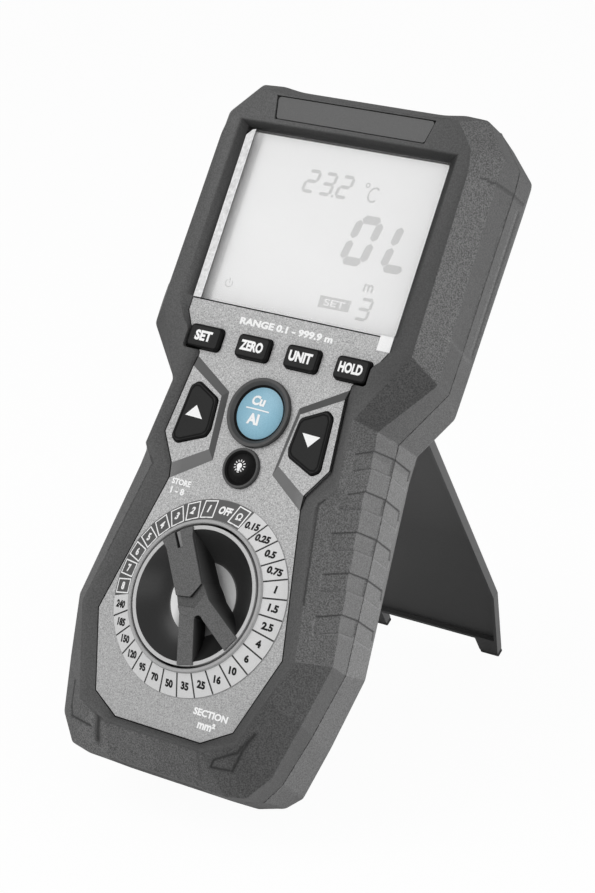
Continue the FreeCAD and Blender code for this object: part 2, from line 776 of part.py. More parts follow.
def make_handle():
    """Raised finger grip: highest over the centre, sloping to the rim, its underside on the bowl."""
    body = prism(handle_outline(), bowl_under, handle_peak)
    roof = turned([(0.0, bowl_under), (knob_radius, bowl_under), (knob_radius, handle_end), (0.0, handle_peak)])
    bowl = turned(bowl_profile() + [(0.0, bowl_under), (knob_radius, bowl_under), (knob_radius, bowl_rim_z)])
    rise = (trim_top - bowl_rim_z) * (1 + seat_gap / trim_width) + seat_gap
    ring_room = turned([(bowl_edge - seat_gap, bowl_under), (knob_radius, bowl_under),
                        (knob_radius, bowl_rim_z + rise), (bowl_edge - seat_gap, bowl_rim_z + seat_gap)])
    notch = [handle_frame(slot_start, -slot_half), handle_frame(knob_radius, -slot_half),
             handle_frame(knob_radius, slot_half), handle_frame(slot_start, slot_half)]
    return body.common(roof).cut([bowl, ring_room, prism(notch, handle_end - slot_depth, handle_peak)])


def make_shaft():
    body = disc(0, 0, shaft_radius, rotor_top, bowl_under)
    neck = disc(0, 0, neck_radius, bowl_under, bowl_under + neck_length)
    return body.fuse(neck).cut(disc(0, 0, screw_radius + seat_gap / 2, rotor_top, bowl_under - seat_gap))


def make_rotor():
    body = disc(0, 0, disc_radius, rotor_low, rotor_top)
    pockets = [disc(x, y, ball_pocket, rotor_low, rotor_top) for x, y in ball_places()]
    return body.cut(pockets + [disc(0, 0, screw_radius + seat_gap / 2, rotor_low, rotor_top)])


def ball_places():
    reach = detent_inner - 2 * seat_gap - ball_radius
    return [handle_frame(reach * side, 0.0) for side in (1, -1)]


def make_balls():
    """Two detent balls carried by the rotor's rim."""
    middle = (rotor_low + rotor_top) / 2
    return Part.makeCompound([Part.makeSphere(ball_radius, Vector(x, y, middle)) for x, y in ball_places()])


def make_wipers():
    """Three spring contacts under the rotor, resting on the board's tracks."""
    parts = []
    tip = disc_radius - wiper_margin
    for step in range(wiper_count):
        arm = block(wiper_inner, tip, -wiper_half, wiper_half, board_front_z + seat_gap, rotor_low)
        arm.rotate(Vector(0, 0, 0), Vector(0, 0, 1), step * 360.0 / wiper_count)
        parts.append(arm)
    return Part.makeCompound(parts)


def make_knob_screw():
    head = disc(0, 0, knob_screw_head, board_front_z + seat_gap, rotor_low)
    return head.fuse(disc(0, 0, screw_radius, rotor_low, bowl_under - 2 * seat_gap))


# ================================================================ rear half
def socket_places():
    return [-socket_x, socket_x]


def shroud_cut(radius):
    return [along_y(x, socket_z, radius, window_top, highest) for x in socket_places()]


def make_rear_boot():
    """Rubber skin of the rear half, wrapping round to a border on the back face."""
    outer = loft((outline(between(PARTING, REAR_EDGE, parting_z, rear_edge_z, parting_z - reveal)),
                  parting_z - reveal), (outline(REAR_EDGE), rear_edge_z), (outline(BACK), back_z))
    hollow = loft(*rear_levels(boot_skin, parting_z, panel_seat))
    window = prism(outline(BACK, back_margin), back_z, panel_seat)
    recesses = grip_recesses(outer, rear_levels(recess_depth, parting_z, back_z),
                             rear_levels(panel_depth, parting_z, back_z))
    return outer.cut([hollow, window] + shroud_cut(shroud_radius + seat_gap) + recesses)


def make_rear_case():
    """Rigid rear shell with back panel, battery bay, cover bed, screw pillars and stand ears."""
    body = loft(*rear_levels(shell_inset, rear_case_end, panel_seat))
    cavity = loft(*rear_levels(cavity_inset, parting_z, inner_back))
    panel = prism(outline(BACK, back_margin + seat_gap), panel_face, inner_back)
    shell = body.cut(cavity).fuse(panel)
    bay = bay_box(bay_wall, inner_back, bay_top).cut(bay_box(0.0, inner_back, bay_top))
    pillars = screw_columns(inner_back, board_back_z - 2 * seat_gap, boss_radius)
    stubs = [disc(side * cover_screw_x, cover_screw_y, stub_radius, inner_back, inner_back + stub_height)
             for side in (-1, 1)]
    ears = [make_ear(side) for side in (-1, 1)]
    shell = shell.fuse([bay] + pillars + stubs + ears)
    cuts = shroud_cut(shroud_radius + seat_gap)
    cuts += screw_columns(panel_face, board_back_z, screw_shank + seat_gap)
    cuts += screw_columns(panel_face, panel_face + screw_sink + screw_head_height, screw_head + seat_gap)
    cuts.append(cover_box(cover_gap, panel_face, cover_under + seat_gap))
    cuts.append(bay_box(0.0, panel_face, bay_top))
    cuts += [disc(side * cover_screw_x, cover_screw_y, cover_shank + seat_gap, panel_face,
                  inner_back + stub_height - stub_end) for side in (-1, 1)]
    cuts.append(along_x(hinge_y, hinge_z, pin_radius + pin_fit / 2, -leaf_half, leaf_half))
    return shell.cut(cuts)


def bay_box(grow, low, high):
    half = battery_size[0] / 2 + battery_play + grow
    bottom = battery_bottom - battery_play - grow
    top = battery_bottom + battery_size[1] + snap_thickness + battery_play + grow
    return block(-half, half, bottom, top, low, high)


def cover_box(grow, low, high):
    return block(-cover_half - grow, cover_half + grow, cover_bottom - grow, cover_top + grow, low, high)


def make_ear(side):
    """Stand ear: a lug on the back panel that holds one end of the pivot."""
    x0 = side * ear_x - ear_width / 2
    x1 = side * ear_x + ear_width / 2
    round_end = along_x(hinge_y, hinge_z, barrel_radius, x0, x1)
    web = block(x0, x1, hinge_y - barrel_radius, hinge_y + barrel_radius, hinge_z, panel_face)
    return round_end.fuse(web)


def make_cover():
    body = cover_box(0.0, panel_face, cover_under)
    holes = []
    for side in (-1, 1):
        holes.append(disc(side * cover_screw_x, cover_screw_y, cover_hole, panel_face, cover_under))
        holes.append(disc(side * cover_screw_x, cover_screw_y, cover_sink, panel_face,
                          panel_face + cover_sink_depth))
    width, depth = thumb_rib
    ribs = [block(-thumb_rib_half, thumb_rib_half, y, y + width, panel_face, panel_face + depth)
            for y in THUMB_RIB_Y]
    return body.cut(holes + ribs)


def make_cover_screws():
    parts = []
    length, width, depth = cover_slot
    head_high = panel_face + cover_sink_depth
    shank_end = inner_back + stub_height - 2 * stub_end
    for x in (-cover_screw_x, cover_screw_x):
        head = disc(x, cover_screw_y, cover_sink - 2 * seat_gap, panel_face + seat_gap, head_high)
        slot = block(x - length, x + length, cover_screw_y - width, cover_screw_y + width, panel_face,
                     panel_face + depth)
        shank = disc(x, cover_screw_y, cover_shank, head_high, shank_end)
        parts.append(head.fuse(shank).cut(slot))
    return Part.makeCompound(parts)


def make_battery():
    dx, dy, dz = battery_size
    low = cover_under + pad_thickness + 2 * seat_gap
    return rounded(-dx / 2, dx / 2, battery_bottom, battery_bottom + dy, low, low + dz, battery_corner)


def make_pad():
    dx, dy = battery_size[:2]
    low = cover_under + seat_gap / 2
    return block(-dx / 3, dx / 3, battery_bottom + pad_margin, battery_bottom + dy - pad_margin,
                 low, low + pad_thickness)


def make_snap():
    dx, dy, dz = battery_size
    y0 = battery_bottom + dy + seat_gap
    low = cover_under + pad_thickness + 2 * seat_gap
    return block(-dx / 2, dx / 2, y0, y0 + snap_thickness, low + snap_margin, low + dz - snap_margin)


def make_gasket():
    outer = outline(PARTING, shell_inset + gasket_inset)
    inner = outline(PARTING, cavity_inset - gasket_inset)
    low, high = rear_case_end, front_case_end
    return prism(outer, low, high).cut(prism(inner, low, high))


def make_case_screws():
    """Long screws from the back panel through the pillars into the front shell's bosses."""
    parts = []
    length, width, depth = screw_cross
    head_low = panel_face + screw_sink
    head_high = head_low + screw_head_height
    for x, y in BOSSES:
        for side in (-1, 1):
            head = disc(side * x, y, screw_head, head_low, head_high)
            shank = disc(side * x, y, screw_shank, head_high, board_back_z + screw_reach)
            cross = [block(side * x - half_x, side * x + half_x, y - half_y, y + half_y, head_low,
                           head_low + depth) for half_x, half_y in ((length, width), (width, length))]
            parts.append(head.fuse(shank).cut(cross))
    return Part.makeCompound(parts)


def socket_top():
    """The sockets' mouths end flush with the rear boot's end wall."""
    level = between(PARTING, REAR_EDGE, parting_z, rear_edge_z, socket_z)
    return level[0][1]


def make_terminal_block():
    """Moulded block with two shrouded mouths through the top end of the case."""
    mouth = socket_top()
    sleeve_top = mouth - shroud_mouth
    lowest = between(REAR_EDGE, BACK, rear_edge_z, back_z, socket_z - block_half_height)
    wall_inside = lowest[0][1] - cavity_inset - block_gap
    body = block(-block_half, block_half, wall_inside - block_depth, wall_inside,
                 socket_z - block_half_height, socket_z + block_half_height)
    shrouds = [along_y(x, socket_z, shroud_radius, wall_inside - 1, mouth) for x in socket_places()]
    body = body.fuse(shrouds)
    cuts = [along_y(x, socket_z, socket_tube + seat_gap / 2, sleeve_top - socket_length, sleeve_top)
            for x in socket_places()]
    cuts += [along_y(x, socket_z, shroud_bore, sleeve_top, mouth) for x in socket_places()]
    return body.cut(cuts)


def make_sleeves():
    """Two metal sleeves that take the test leads' plugs."""
    top = socket_top() - shroud_mouth
    parts = []
    for x in socket_places():
        tube = along_y(x, socket_z, socket_tube, top - socket_length, top)
        parts.append(tube.cut(along_y(x, socket_z, socket_bore, top - sleeve_reach, top)))
    return Part.makeCompound(parts)


# ================================================================ stand
def leaf_plan(margin):
    """Stand's plan as folded, from the pivot down the back; margin keeps a rim."""
    half = [(0, leaf_middle), (foot_inner, leaf_middle), (foot_inner, foot_reach - foot_pad),
            (foot_outer, foot_reach - foot_pad), (leaf_half, leaf_straight), (leaf_half, 0)]
    points = [(x, hinge_y - along) for x, along in half]
    closed = points + [(-x, y) for x, y in reversed(points) if x > 0]
    return inset(closed, margin) if margin else closed


def pocket_plan():
    """Hollow of the leaf's inner face, inside its rim and short of its barrel."""
    low = leaf_middle - leaf_rim
    share = (low - leaf_straight) / (foot_reach - foot_pad - leaf_straight)
    low_half = leaf_half - (leaf_half - foot_outer) * share
    half = [(0, low), (low_half - leaf_rim, low), (leaf_half - leaf_rim, leaf_straight),
            (leaf_half - leaf_rim, 2 * barrel_radius)]
    points = [(x, hinge_y - along) for x, along in half]
    return points + [(-x, y) for x, y in reversed(points) if x > 0]


def opened(shape):
    """Swings a folded stand shape out to its stop."""
    swung = shape.copy()
    swung.rotate(Vector(0, hinge_y, hinge_z), Vector(1, 0, 0), open_angle)
    return swung


def make_leaf():
    """Flat tapered leaf with a raised rim, its barrel on the pivot and a heel that stops it open."""
    low, high = hinge_z - leaf_thickness / 2, hinge_z + leaf_thickness / 2
    plate = prism(leaf_plan(0.0), low, high)
    pocket = prism(pocket_plan(), high - leaf_pocket, high)
    barrel = along_x(hinge_y, hinge_z, barrel_radius, -leaf_half, leaf_half)
    tilt = math.radians(open_angle)
    room = back_z - hinge_z - seat_gap
    heel = (room - leaf_thickness / 2 * math.cos(tilt)) / math.sin(tilt)
    stop = block(-leaf_half, leaf_half, hinge_y, hinge_y + heel, low, high)
    body = plate.fuse([barrel, stop]).cut(pocket)
    cuts = [along_x(hinge_y, hinge_z, pin_radius + pin_fit, -leaf_half, leaf_half)]
    swing = barrel_radius + ear_room
    for side in (-1, 1):
        x0 = side * ear_x - ear_width / 2 - ear_gap
        x1 = side * ear_x + ear_width / 2 + ear_gap
        cuts.append(block(x0, x1, hinge_y - swing, hinge_y + swing, hinge_z - swing, hinge_z + swing))
    return opened(body.cut(cuts))


def make_feet():
    """Soft tips of the leaf's two feet."""
    low, high = hinge_z - leaf_thickness / 2, hinge_z + leaf_thickness / 2
    tip = block(foot_inner, foot_outer, hinge_y - foot_reach, hinge_y - foot_reach + foot_pad, low, high)
    return opened(Part.makeCompound([tip, flipped(tip)]))


def make_pin():
    reach = ear_x + ear_width / 2 + pin_overhang
    return along_x(hinge_y, hinge_z, pin_radius, -reach, reach)


# ================================================================ assembly
def make_parts():
    parts = {
        "front_boot": make_front_boot(),
        "rear_boot": make_rear_boot(),
        "front_case": make_front_case(),
        "rear_case": make_rear_case(),
        "faceplate": make_faceplate(),
        "scale_ring": make_scale_ring(),
        "name_plate": make_name_plate(),
        "display_window": make_window(),
        "display_film": make_film(),
        "lcd_glass": make_glass(),
        "lcd_backlight": make_backlight(),
        "lcd_holder": make_holder(),
        "zebra_strips": make_strips(),
        "key_ring_material": make_collar(material_y, material_ring, material_radius + slide_gap,
                                         material_ring_height, material_edge),
        "key_ring_light": make_collar(light_y, light_ring, light_radius + slide_gap,
                                      light_ring_height, light_edge),
        "main_board": make_board(),
        "key_switches": make_switches(),
        "buzzer": make_buzzer(),
        "shield_can": make_shield(),
        "detent_ring": make_detent_ring(),
        "case_gasket": make_gasket(),
        "case_screws": make_case_screws(),
        "terminal_block": make_terminal_block(),
        "socket_sleeves": make_sleeves(),
        "battery": make_battery(),
        "battery_snap": make_snap(),
        "battery_pad": make_pad(),
        "battery_cover": make_cover(),
        "battery_cover_screws": make_cover_screws(),
        "stand_pin": make_pin(),
        "key_up": flipped(make_side_key()),
        "key_down": make_side_key(),
        "key_material": make_round_key(material_y, material_radius, material_edge, material_crown),
        "key_light": make_round_key(light_y, light_radius, light_edge, light_crown),
        "knob_bowl": make_bowl(),
        "knob_trim_ring": make_trim_ring(),
        "knob_handle": make_handle(),
        "knob_shaft": make_shaft(),
        "knob_screw": make_knob_screw(),
        "wiper_disc": make_rotor(),
        "wiper_contacts": make_wipers(),
        "detent_balls": make_balls(),
        "stand_leaf": make_leaf(),
        "stand_feet": make_feet(),
    }
    for name, x in zip(row_names, row_x):
        parts[name] = make_row_key(x)
    return parts


def lean_angle():
    """Lean of the body when its rear bottom edge and the opened stand's feet share the floor."""
    tilt = math.radians(open_angle)
    half = leaf_thickness / 2
    foot_y = hinge_y - foot_reach * math.cos(tilt) - half * math.sin(tilt)
    foot_z = hinge_z - foot_reach * math.sin(tilt) + half * math.cos(tilt)
    edge_y = BACK[-1][1]
    return math.degrees(math.atan2(foot_y - edge_y, back_z - foot_z))


def main():
    os.makedirs("parts", exist_ok=True)
    lean = lean_angle()
    stand_up = FreeCAD.Placement(Vector(0, 0, 0), FreeCAD.Rotation(Vector(1, 0, 0), 90 - lean))
    placed = {}
    for name, shape in make_parts().items():
        placed[name] = moved_by(shape, stand_up)
    box = FreeCAD.BoundBox()
    for shape in placed.values():
        box.add(shape.BoundBox)
    shift = Vector(0, -(box.YMin + box.YMax) / 2, -box.ZMin)
    set_down = FreeCAD.Placement(shift, FreeCAD.Rotation())
    for name, shape in placed.items():
        solid = moved_by(shape, set_down)
        solid.exportStep(os.path.join("parts", name + ".step"))
        print(name, len(solid.Solids), round(solid.Volume, 1), solid.isValid())
    whole = set_down.multiply(stand_up)
    out = whole.Rotation.multVec(Vector(0, 0, 1))
    up = whole.Rotation.multVec(Vector(0, 1, 0))
    print("lean", lean, "shift", shift, "box", box)
    print("outward", out, "up the face", up)
    print("stand hinge", whole.multVec(Vector(0, hinge_y, hinge_z)))
    print("selector", whole.multVec(Vector(0, 0, 0)))
    middle = socket_top() - shroud_mouth - sleeve_reach / 2
    for x in socket_places():
        print("socket", whole.multVec(Vector(x, middle, socket_z)))


def moved_by(shape, placement):
    moved = shape.copy()
    moved.Placement = placement.multiply(moved.Placement)
    return moved


main()
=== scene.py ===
import json
import math
from contextlib import contextmanager

import bmesh
import bpy
import numpy as np
from mathutils import Matrix, Vector
from mathutils.geometry import tessellate_polygon

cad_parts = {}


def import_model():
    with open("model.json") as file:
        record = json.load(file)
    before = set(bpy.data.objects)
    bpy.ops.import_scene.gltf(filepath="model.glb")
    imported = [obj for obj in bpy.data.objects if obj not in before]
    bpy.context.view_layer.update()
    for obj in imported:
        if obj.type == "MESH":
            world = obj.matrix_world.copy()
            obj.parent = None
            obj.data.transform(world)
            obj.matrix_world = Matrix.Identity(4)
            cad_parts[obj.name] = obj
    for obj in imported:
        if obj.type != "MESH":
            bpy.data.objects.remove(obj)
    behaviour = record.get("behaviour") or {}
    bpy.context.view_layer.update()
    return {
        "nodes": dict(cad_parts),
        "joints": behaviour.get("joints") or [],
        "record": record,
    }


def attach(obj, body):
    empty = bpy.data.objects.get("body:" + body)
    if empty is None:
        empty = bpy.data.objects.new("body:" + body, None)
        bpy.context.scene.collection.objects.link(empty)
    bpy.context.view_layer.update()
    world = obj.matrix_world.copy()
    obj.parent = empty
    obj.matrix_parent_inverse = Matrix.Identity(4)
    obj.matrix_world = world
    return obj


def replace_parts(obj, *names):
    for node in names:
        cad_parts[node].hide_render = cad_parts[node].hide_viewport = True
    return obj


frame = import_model()

# -------- the device's own frame
# X to the right, Y up the face, Z out of the face, in millimetres, from the selector's axis.
JOINTS = {joint["name"]: joint for joint in frame["joints"]}
SIDE = Vector((1.0, 0.0, 0.0))
OUT = Vector(JOINTS["selector_turn"]["axis"]).normalized()
UP = OUT.cross(SIDE)
ORIGIN = Vector(JOINTS["selector_turn"]["pos_m"])
TURN = np.array([SIDE, UP, OUT])
MM = 0.001


def world(points):
    """Device points in millimetres, as row-frame points in metres."""
    return np.asarray(points, float).reshape(-1, 3) @ TURN * MM + np.array(ORIGIN)


def direction(x, y, z):
    return SIDE * x + UP * y + OUT * z


# -------- materials
NOISE_LOW, NOISE_HIGH = 0.3, 0.7  # useful range of the noise
BROAD_SCALE, BROAD_SHARE = 60.0, 0.06  # broad mottling: cells per metre and strength


def level(value):
    """Linear value of a display grey from 0 to 255."""
    share = value / 255
    return share / 12.92 if share <= 0.04045 else ((share + 0.055) / 1.055) ** 2.4


def colour(value):
    shades = (value, value, value) if isinstance(value, (int, float)) else value
    return (*[level(v) for v in shades], 1.0)


def add_node(tree, kind, inputs=(), **settings):
    """A node with its settings; each input is linked to another socket or set to a constant."""
    node = tree.nodes.new("ShaderNode" + kind)
    for name, value in settings.items():
        setattr(node, name, value)
    for key, value in dict(inputs).items():
        if isinstance(value, bpy.types.NodeSocket):
            tree.links.new(value, node.inputs[key])
        else:
            node.inputs[key].default_value = value
    return node.outputs


class Paint:
    """A procedural material: a mottled colour under a fine bump."""

    def __init__(self, name, dark, light, rough, grain=0.3, bump=0.0, metal=0.0, gloss=0.5):
        self.material = bpy.data.materials.new(name)
        self.material.use_nodes = True
        self.tree = self.material.node_tree
        self.shader = self.tree.nodes["Principled BSDF"]
        coordinates = add_node(self.tree, "TexCoord")
        self.place, self.normal = coordinates["Object"], coordinates["Normal"]
        self.fine = self.noise(1.0 / (grain * MM), 3.0)
        broad = self.ramp(self.noise(BROAD_SCALE, 2.0), NOISE_LOW, NOISE_HIGH, BROAD_SHARE)
        tint = self.mix(self.ramp(self.fine, NOISE_LOW, NOISE_HIGH), dark, light)
        self.tint = self.mix(broad, tint, light)
        self.recolour(self.tint)
        for label, value in (("Roughness", rough), ("Metallic", metal), ("Specular IOR Level", gloss)):
            self.shader.inputs[label].default_value = value
        if bump:
            normal = add_node(self.tree, "Bump", {"Distance": bump * MM, "Height": self.fine})["Normal"]
            self.tree.links.new(normal, self.shader.inputs["Normal"])

    def noise(self, scale, detail):
        inputs = {"Vector": self.place, "Scale": scale, "Detail": detail}
        return add_node(self.tree, "TexNoise", inputs)["Fac"]

    def ramp(self, value, low, high, top=1.0, bottom=0.0):
        return add_node(self.tree, "MapRange", {"Value": value, "From Min": low, "From Max": high,
                                                "To Min": bottom, "To Max": top})["Result"]

    def mix(self, factor, *tints):
        """Mixes two tints, each a socket, a grey or a colour."""
        pair = [tint if isinstance(tint, bpy.types.NodeSocket) else colour(tint) for tint in tints]
        return add_node(self.tree, "Mix", {0: factor, 6: pair[0], 7: pair[1]}, data_type="RGBA")[2]

    def calculate(self, operation, *values):
        return add_node(self.tree, "Math", enumerate(values), operation=operation)[0]

    def along(self, vector, axis):
        """Component of a vector along a fixed direction of the object."""
        return add_node(self.tree, "VectorMath", {0: vector, 1: axis}, operation="DOT_PRODUCT")["Value"]

    def facing(self, axis, low, high):
        """How far the surface faces along an axis, from 0 at one cosine to 1 at another."""
        return self.ramp(self.along(self.normal, axis), low, high)

    def reaching(self, axis, low, high, share=1.0, origin=ORIGIN):
        """How far the surface lies from an origin along an axis, between two distances in millimetres."""
        start = origin.dot(axis)
        return self.ramp(self.along(self.place, axis), start + low * MM, start + high * MM, share)

    def attribute(self, name):
        return add_node(self.tree, "Attribute", attribute_name=name)["Fac"]

    def recolour(self, tint):
        self.tree.links.new(tint, self.shader.inputs["Base Color"])

    def see_through(self, clear):
        """Lets this share of the light through."""
        bare = add_node(self.tree, "BsdfTransparent")[0]
        blend = add_node(self.tree, "MixShader", {0: 1.0 - clear, 1: bare, 2: self.shader.outputs[0]})[0]
        self.tree.links.new(blend, self.tree.nodes["Material Output"].inputs["Surface"])


# The mottling's two colours (display greys, or red, green and blue), the roughness and what else differs.
FINISHES = {
    "boot_rubber": (70, 92, 0.62, {"grain": 0.45, "bump": 0.12}),
    "case_plastic": (40, 52, 0.55, {"bump": 0.03}),
    "plate_grey": (126, 206, 0.42, {"grain": 0.4, "bump": 0.01}),
    "dial_print": (152, 166, 0.45),
    "name_grey": (74, 88, 0.5, {"bump": 0.01}),
    "clear_lens": (235, 245, 0.05),
    "clear_film": (240, 250, 0.1),
    "cell_glass": (225, 238, 0.3),
    "backlight_white": (235, 245, 0.4),
    "holder_white": (215, 225, 0.5),
    "collar_grey": (52, 62, 0.5, {"bump": 0.01}),
    "board_green": ((20, 70, 35), (30, 95, 50), 0.35),
    "switch_black": (30, 40, 0.4),
    "steel": (150, 175, 0.3, {"metal": 1.0}),
    "knob_matte": (74, 106, 0.6, {"grain": 0.4, "bump": 0.02, "gloss": 0.3}),
    "terminal_black": (26, 34, 0.35),
    "sleeve_brass": ((170, 145, 90), (200, 175, 110), 0.3, {"metal": 1.0}),
    "battery_shell": (60, 80, 0.35),
    "foam_grey": (70, 95, 0.9, {"bump": 0.05}),
    "strip_silicone": (90, 110, 0.6),
    "key_black": (24, 32, 0.45, {"bump": 0.004, "gloss": 0.15}),
    "key_blue": ((127, 175, 196), (145, 191, 211), 0.34, {"bump": 0.003}),
    # The hub's grey is the handle's plastic painted darker as shade of its differently tilted top.
    "knob_hub": (62, 94, 0.6, {"grain": 0.4, "bump": 0.02, "gloss": 0.3}),
    "notch_grey": (122, 146, 0.6, {"grain": 0.4, "gloss": 0.3}),
    "knob_gloss": (36, 42, 0.33, {"gloss": 0.45}),
    # The bowl's floor disc, painted pale as a reflection of the lamps.
    "knob_floor": (104, 112, 0.25, {"gloss": 0.6}),
    "trim_grey": (178, 190, 0.4),
    "stand_plastic": (56, 68, 0.5, {"grain": 0.4, "bump": 0.03}),
    "foot_rubber": (38, 48, 0.7, {"bump": 0.05}),
    "white_print": (240, 248, 0.5),
    "dark_print": (26, 32, 0.6, {"gloss": 0.2}),
    "cell_print": (208, 218, 0.5),
    "divider_print": (52, 60, 0.6, {"gloss": 0.2}),
    "zone_print": (76, 86, 0.5),
    "line_black": (16, 22, 0.7, {"gloss": 0.1}),
    "faint_print": (198, 206, 0.5),
    "display_back": (242, 248, 0.4),
    "display_band": (228, 235, 0.4),
    "lens_edge": (196, 232, 0.3, {"grain": 1.2}),
    "tab_white": (228, 240, 0.2),
}
PAINTS = {name: Paint(name, *finish[:3], **dict(*finish[3:])) for name, finish in FINISHES.items()}
PAINTS["clear_lens"].see_through(0.95)
PAINTS["clear_film"].see_through(0.9)


def finish_with(obj, paint):
    obj.data.materials.clear()
    obj.data.materials.append(PAINTS[paint].material)


# -------- meshes
SHARP = 35.0  # faces that meet at more than this many degrees show an edge
WELD = 1e-7  # points closer than this are one


@contextmanager
def edited(mesh):
    """Opens a mesh for an edit and writes it back."""
    work = bmesh.new()
    work.from_mesh(mesh)
    yield work
    work.to_mesh(mesh)
    work.free()


def close(mesh, distance=WELD):
    """Welds a closed mesh and turns its faces outwards."""
    with edited(mesh) as work:
        bmesh.ops.remove_doubles(work, verts=work.verts, dist=distance)
        bmesh.ops.recalc_face_normals(work, faces=work.faces)


def smooth(mesh, sharp):
    mesh.shade_smooth()
    mesh.set_sharp_from_angle(angle=math.radians(sharp))


def piece(name, points, faces, body, slot, paint=None, sharp=SHARP, closed=True):
    """A mesh from device points, smooth-shaded up to an angle, riding on a body."""
    mesh = bpy.data.meshes.new(name)
    mesh.from_pydata(world(points).tolist(), [], [list(map(int, f)) for f in faces])
    mesh.validate()
    if closed:
        close(mesh)
    smooth(mesh, sharp)
    obj = bpy.data.objects.new(name, mesh)
    bpy.context.scene.collection.objects.link(obj)
    finish_with(obj, paint or slot)
    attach(obj, body)
    return obj


def wall(loops):
    """Points and quads between closed loops of points, one under the other."""
    count = len(loops[0])
    points = [p for loop in loops for p in loop]
    faces = [(r * count + k, r * count + (k + 1) % count, (r + 1) * count + (k + 1) % count,
              (r + 1) * count + k) for r in range(len(loops) - 1) for k in range(count)]
    return points, faces


def at(loop, surface, lift=0.0):
    """The loop's points at one height, or over a surface given as a function."""
    return [(x, y, (surface(x, y) if callable(surface) else surface) + lift) for x, y in loop]


def polar(radius, angle):
    return (radius * math.cos(math.radians(angle)), radius * math.sin(math.radians(angle)))


def circle(x, y, radius, count=20, start=0.0, end=360.0):
    """Points from one angle towards another round a centre."""
    turns = [start + (end - start) * k / count for k in range(count)]
    return [(x + across, y + along) for across, along in (polar(radius, turn) for turn in turns)]


def spun(name, profile, body, slot, paint=None, centre_y=0.0, turns=120):
    """Closed solid of revolution about an axis along Z, from a closed (radius, height) profile."""
    loops = [at(circle(0.0, centre_y, radius, turns), height) for radius, height in profile + profile[:1]]
    return piece(name, *wall(loops), body, slot, paint)


BEVEL_SEGMENTS, BEVEL_ANGLE = 2, 30.0


def bevel(obj, width):
    """Rounds an object's edges."""
    modifier = obj.modifiers.new("soft_edges", "BEVEL")
    modifier.width = width * MM
    modifier.segments = BEVEL_SEGMENTS
    modifier.limit_method = "ANGLE"
    modifier.angle_limit = math.radians(BEVEL_ANGLE)
    obj.modifiers.new("normals", "WEIGHTED_NORMAL").keep_sharp = True
    return obj


def fill(loops, height):
    """Triangles between an outer loop and the loops inside it, all at one height."""
    rings = [[Vector(point) for point in at(loop, 0.0)] for loop in loops]
    points = [point for loop in loops for point in at(loop, height)]
    return points, [tuple(t) for t in tessellate_polygon(rings)]


def solid(outline, top, low, foot=None):
    """Points and faces of a prism whose top and bottom may slope and whose foot may be wider."""
    count = len(outline)
    points = at(outline, top) + at(foot or outline, low)
    sides = wall([outline, outline])[1]
    return points, fill([outline], 0.0)[1] + sides + [[count + k for k in range(count)]]


PRINT_LIFT = 0.04  # height of a print above its surface


class Sheet:
    """Printed shapes gathered into one thin mesh that lies just above a surface."""

    def __init__(self, surface, lift=PRINT_LIFT):
        self.surface, self.lift = surface, lift
        self.points, self.faces = [], []

    def add(self, points, faces):
        base = len(self.points)
        self.points += at(points, self.surface, self.lift)
        self.faces += [tuple(base + k for k in face) for face in faces]

    def polygon(self, points, hole=None):
        loops = [points] + ([hole] if hole else [])
        corners, triangles = fill(loops, 0.0)
        self.add([p[:2] for p in corners], triangles)

    def strip(self, line, width):
        """A line of constant width through the points."""
        points = [Vector(p) for p in line]
        for start, end in zip(points, points[1:]):
            along = (end - start).normalized() * width / 2
            across = Vector((-along.y, along.x))
            self.polygon([start - across, end - across, end + across, start + across])

    def text(self, words, centre, height, stretch=1.0, weight=0.0, slant=0.0, width=None):
        """Lettering centred on a point, its capitals of the given height."""
        curve = bpy.data.curves.new("lettering", "FONT")
        curve.body = words
        curve.offset = weight
        curve.shear = slant
        curve.resolution_u = 3
        carrier = bpy.data.objects.new("lettering", curve)
        bpy.context.scene.collection.objects.link(carrier)
        mesh = bpy.data.meshes.new_from_object(carrier)
        co = np.array([v.co[:2] for v in mesh.vertices])
        low, high = co.min(0), co.max(0)
        scale = height / (high[1] - low[1])
        wide = width / (high[0] - low[0]) if width else scale * stretch
        co = (co - (low + high) / 2) * np.array([wide, scale]) + np.array(centre)
        self.add(co.tolist(), [tuple(p.vertices) for p in mesh.polygons])
        bpy.data.objects.remove(carrier)
        bpy.data.meshes.remove(mesh)

    def make(self, name, body, slot, paint):
        obj = piece(name, self.points, self.faces, body, slot, paint, closed=False)
        with edited(obj.data) as work:
            for face in work.faces:
                if face.normal.dot(OUT) < 0:
                    face.normal_flip()


def patch(name, outline, height, slot, paint, body="case"):
    """A flat print of one outline."""
    sheet = Sheet(height, 0.0)
    sheet.polygon(outline)
    sheet.make(name, body, slot, paint)


# -------- outlines of the boot
RIDGE = [(0, 165.3), (26, 165.3), (34, 166.0), (38.5, 165.6), (46, 157), (47.4, 149), (48.2, 91.5),
         (48.2, 89.3), (35, 65.6), (36, 56), (37.4, 43.3), (32.3, 37.4), (41.6, -11.1),
         (36.5, -25), (30.6, -40.9), (25, -43.7), (18.7, -46), (17.2, -46), (0, -46)]
CHAMFER = [(0, 169.3), (27.5, 169.3), (35, 170.3), (43.5, 169.9), (53.4, 158.8), (53.6, 151), (55.3, 91.5),
           (55.2, 83.5), (39.4, 65), (41.1, 57.5), (42.4, 43.3), (43.1, 37), (50, -8.8),
           (45.6, -29), (41.3, -46.8), (34.5, -55.3), (27, -56.7), (17, -56.6), (0, -56.6)]
PARTING = [(0, 168.2), (27.5, 168.2), (35, 169.4), (43.5, 169.3), (54.2, 158), (54.7, 151), (54.2, 91.5),
           (54, 83.2), (42.2, 64.2), (42.9, 57), (44.1, 43.3), (44.8, 37), (49.2, -9.7),
           (44.3, -31), (39.4, -47.8), (35, -54.6), (27, -56.9), (17, -57.2), (0, -57.2)]
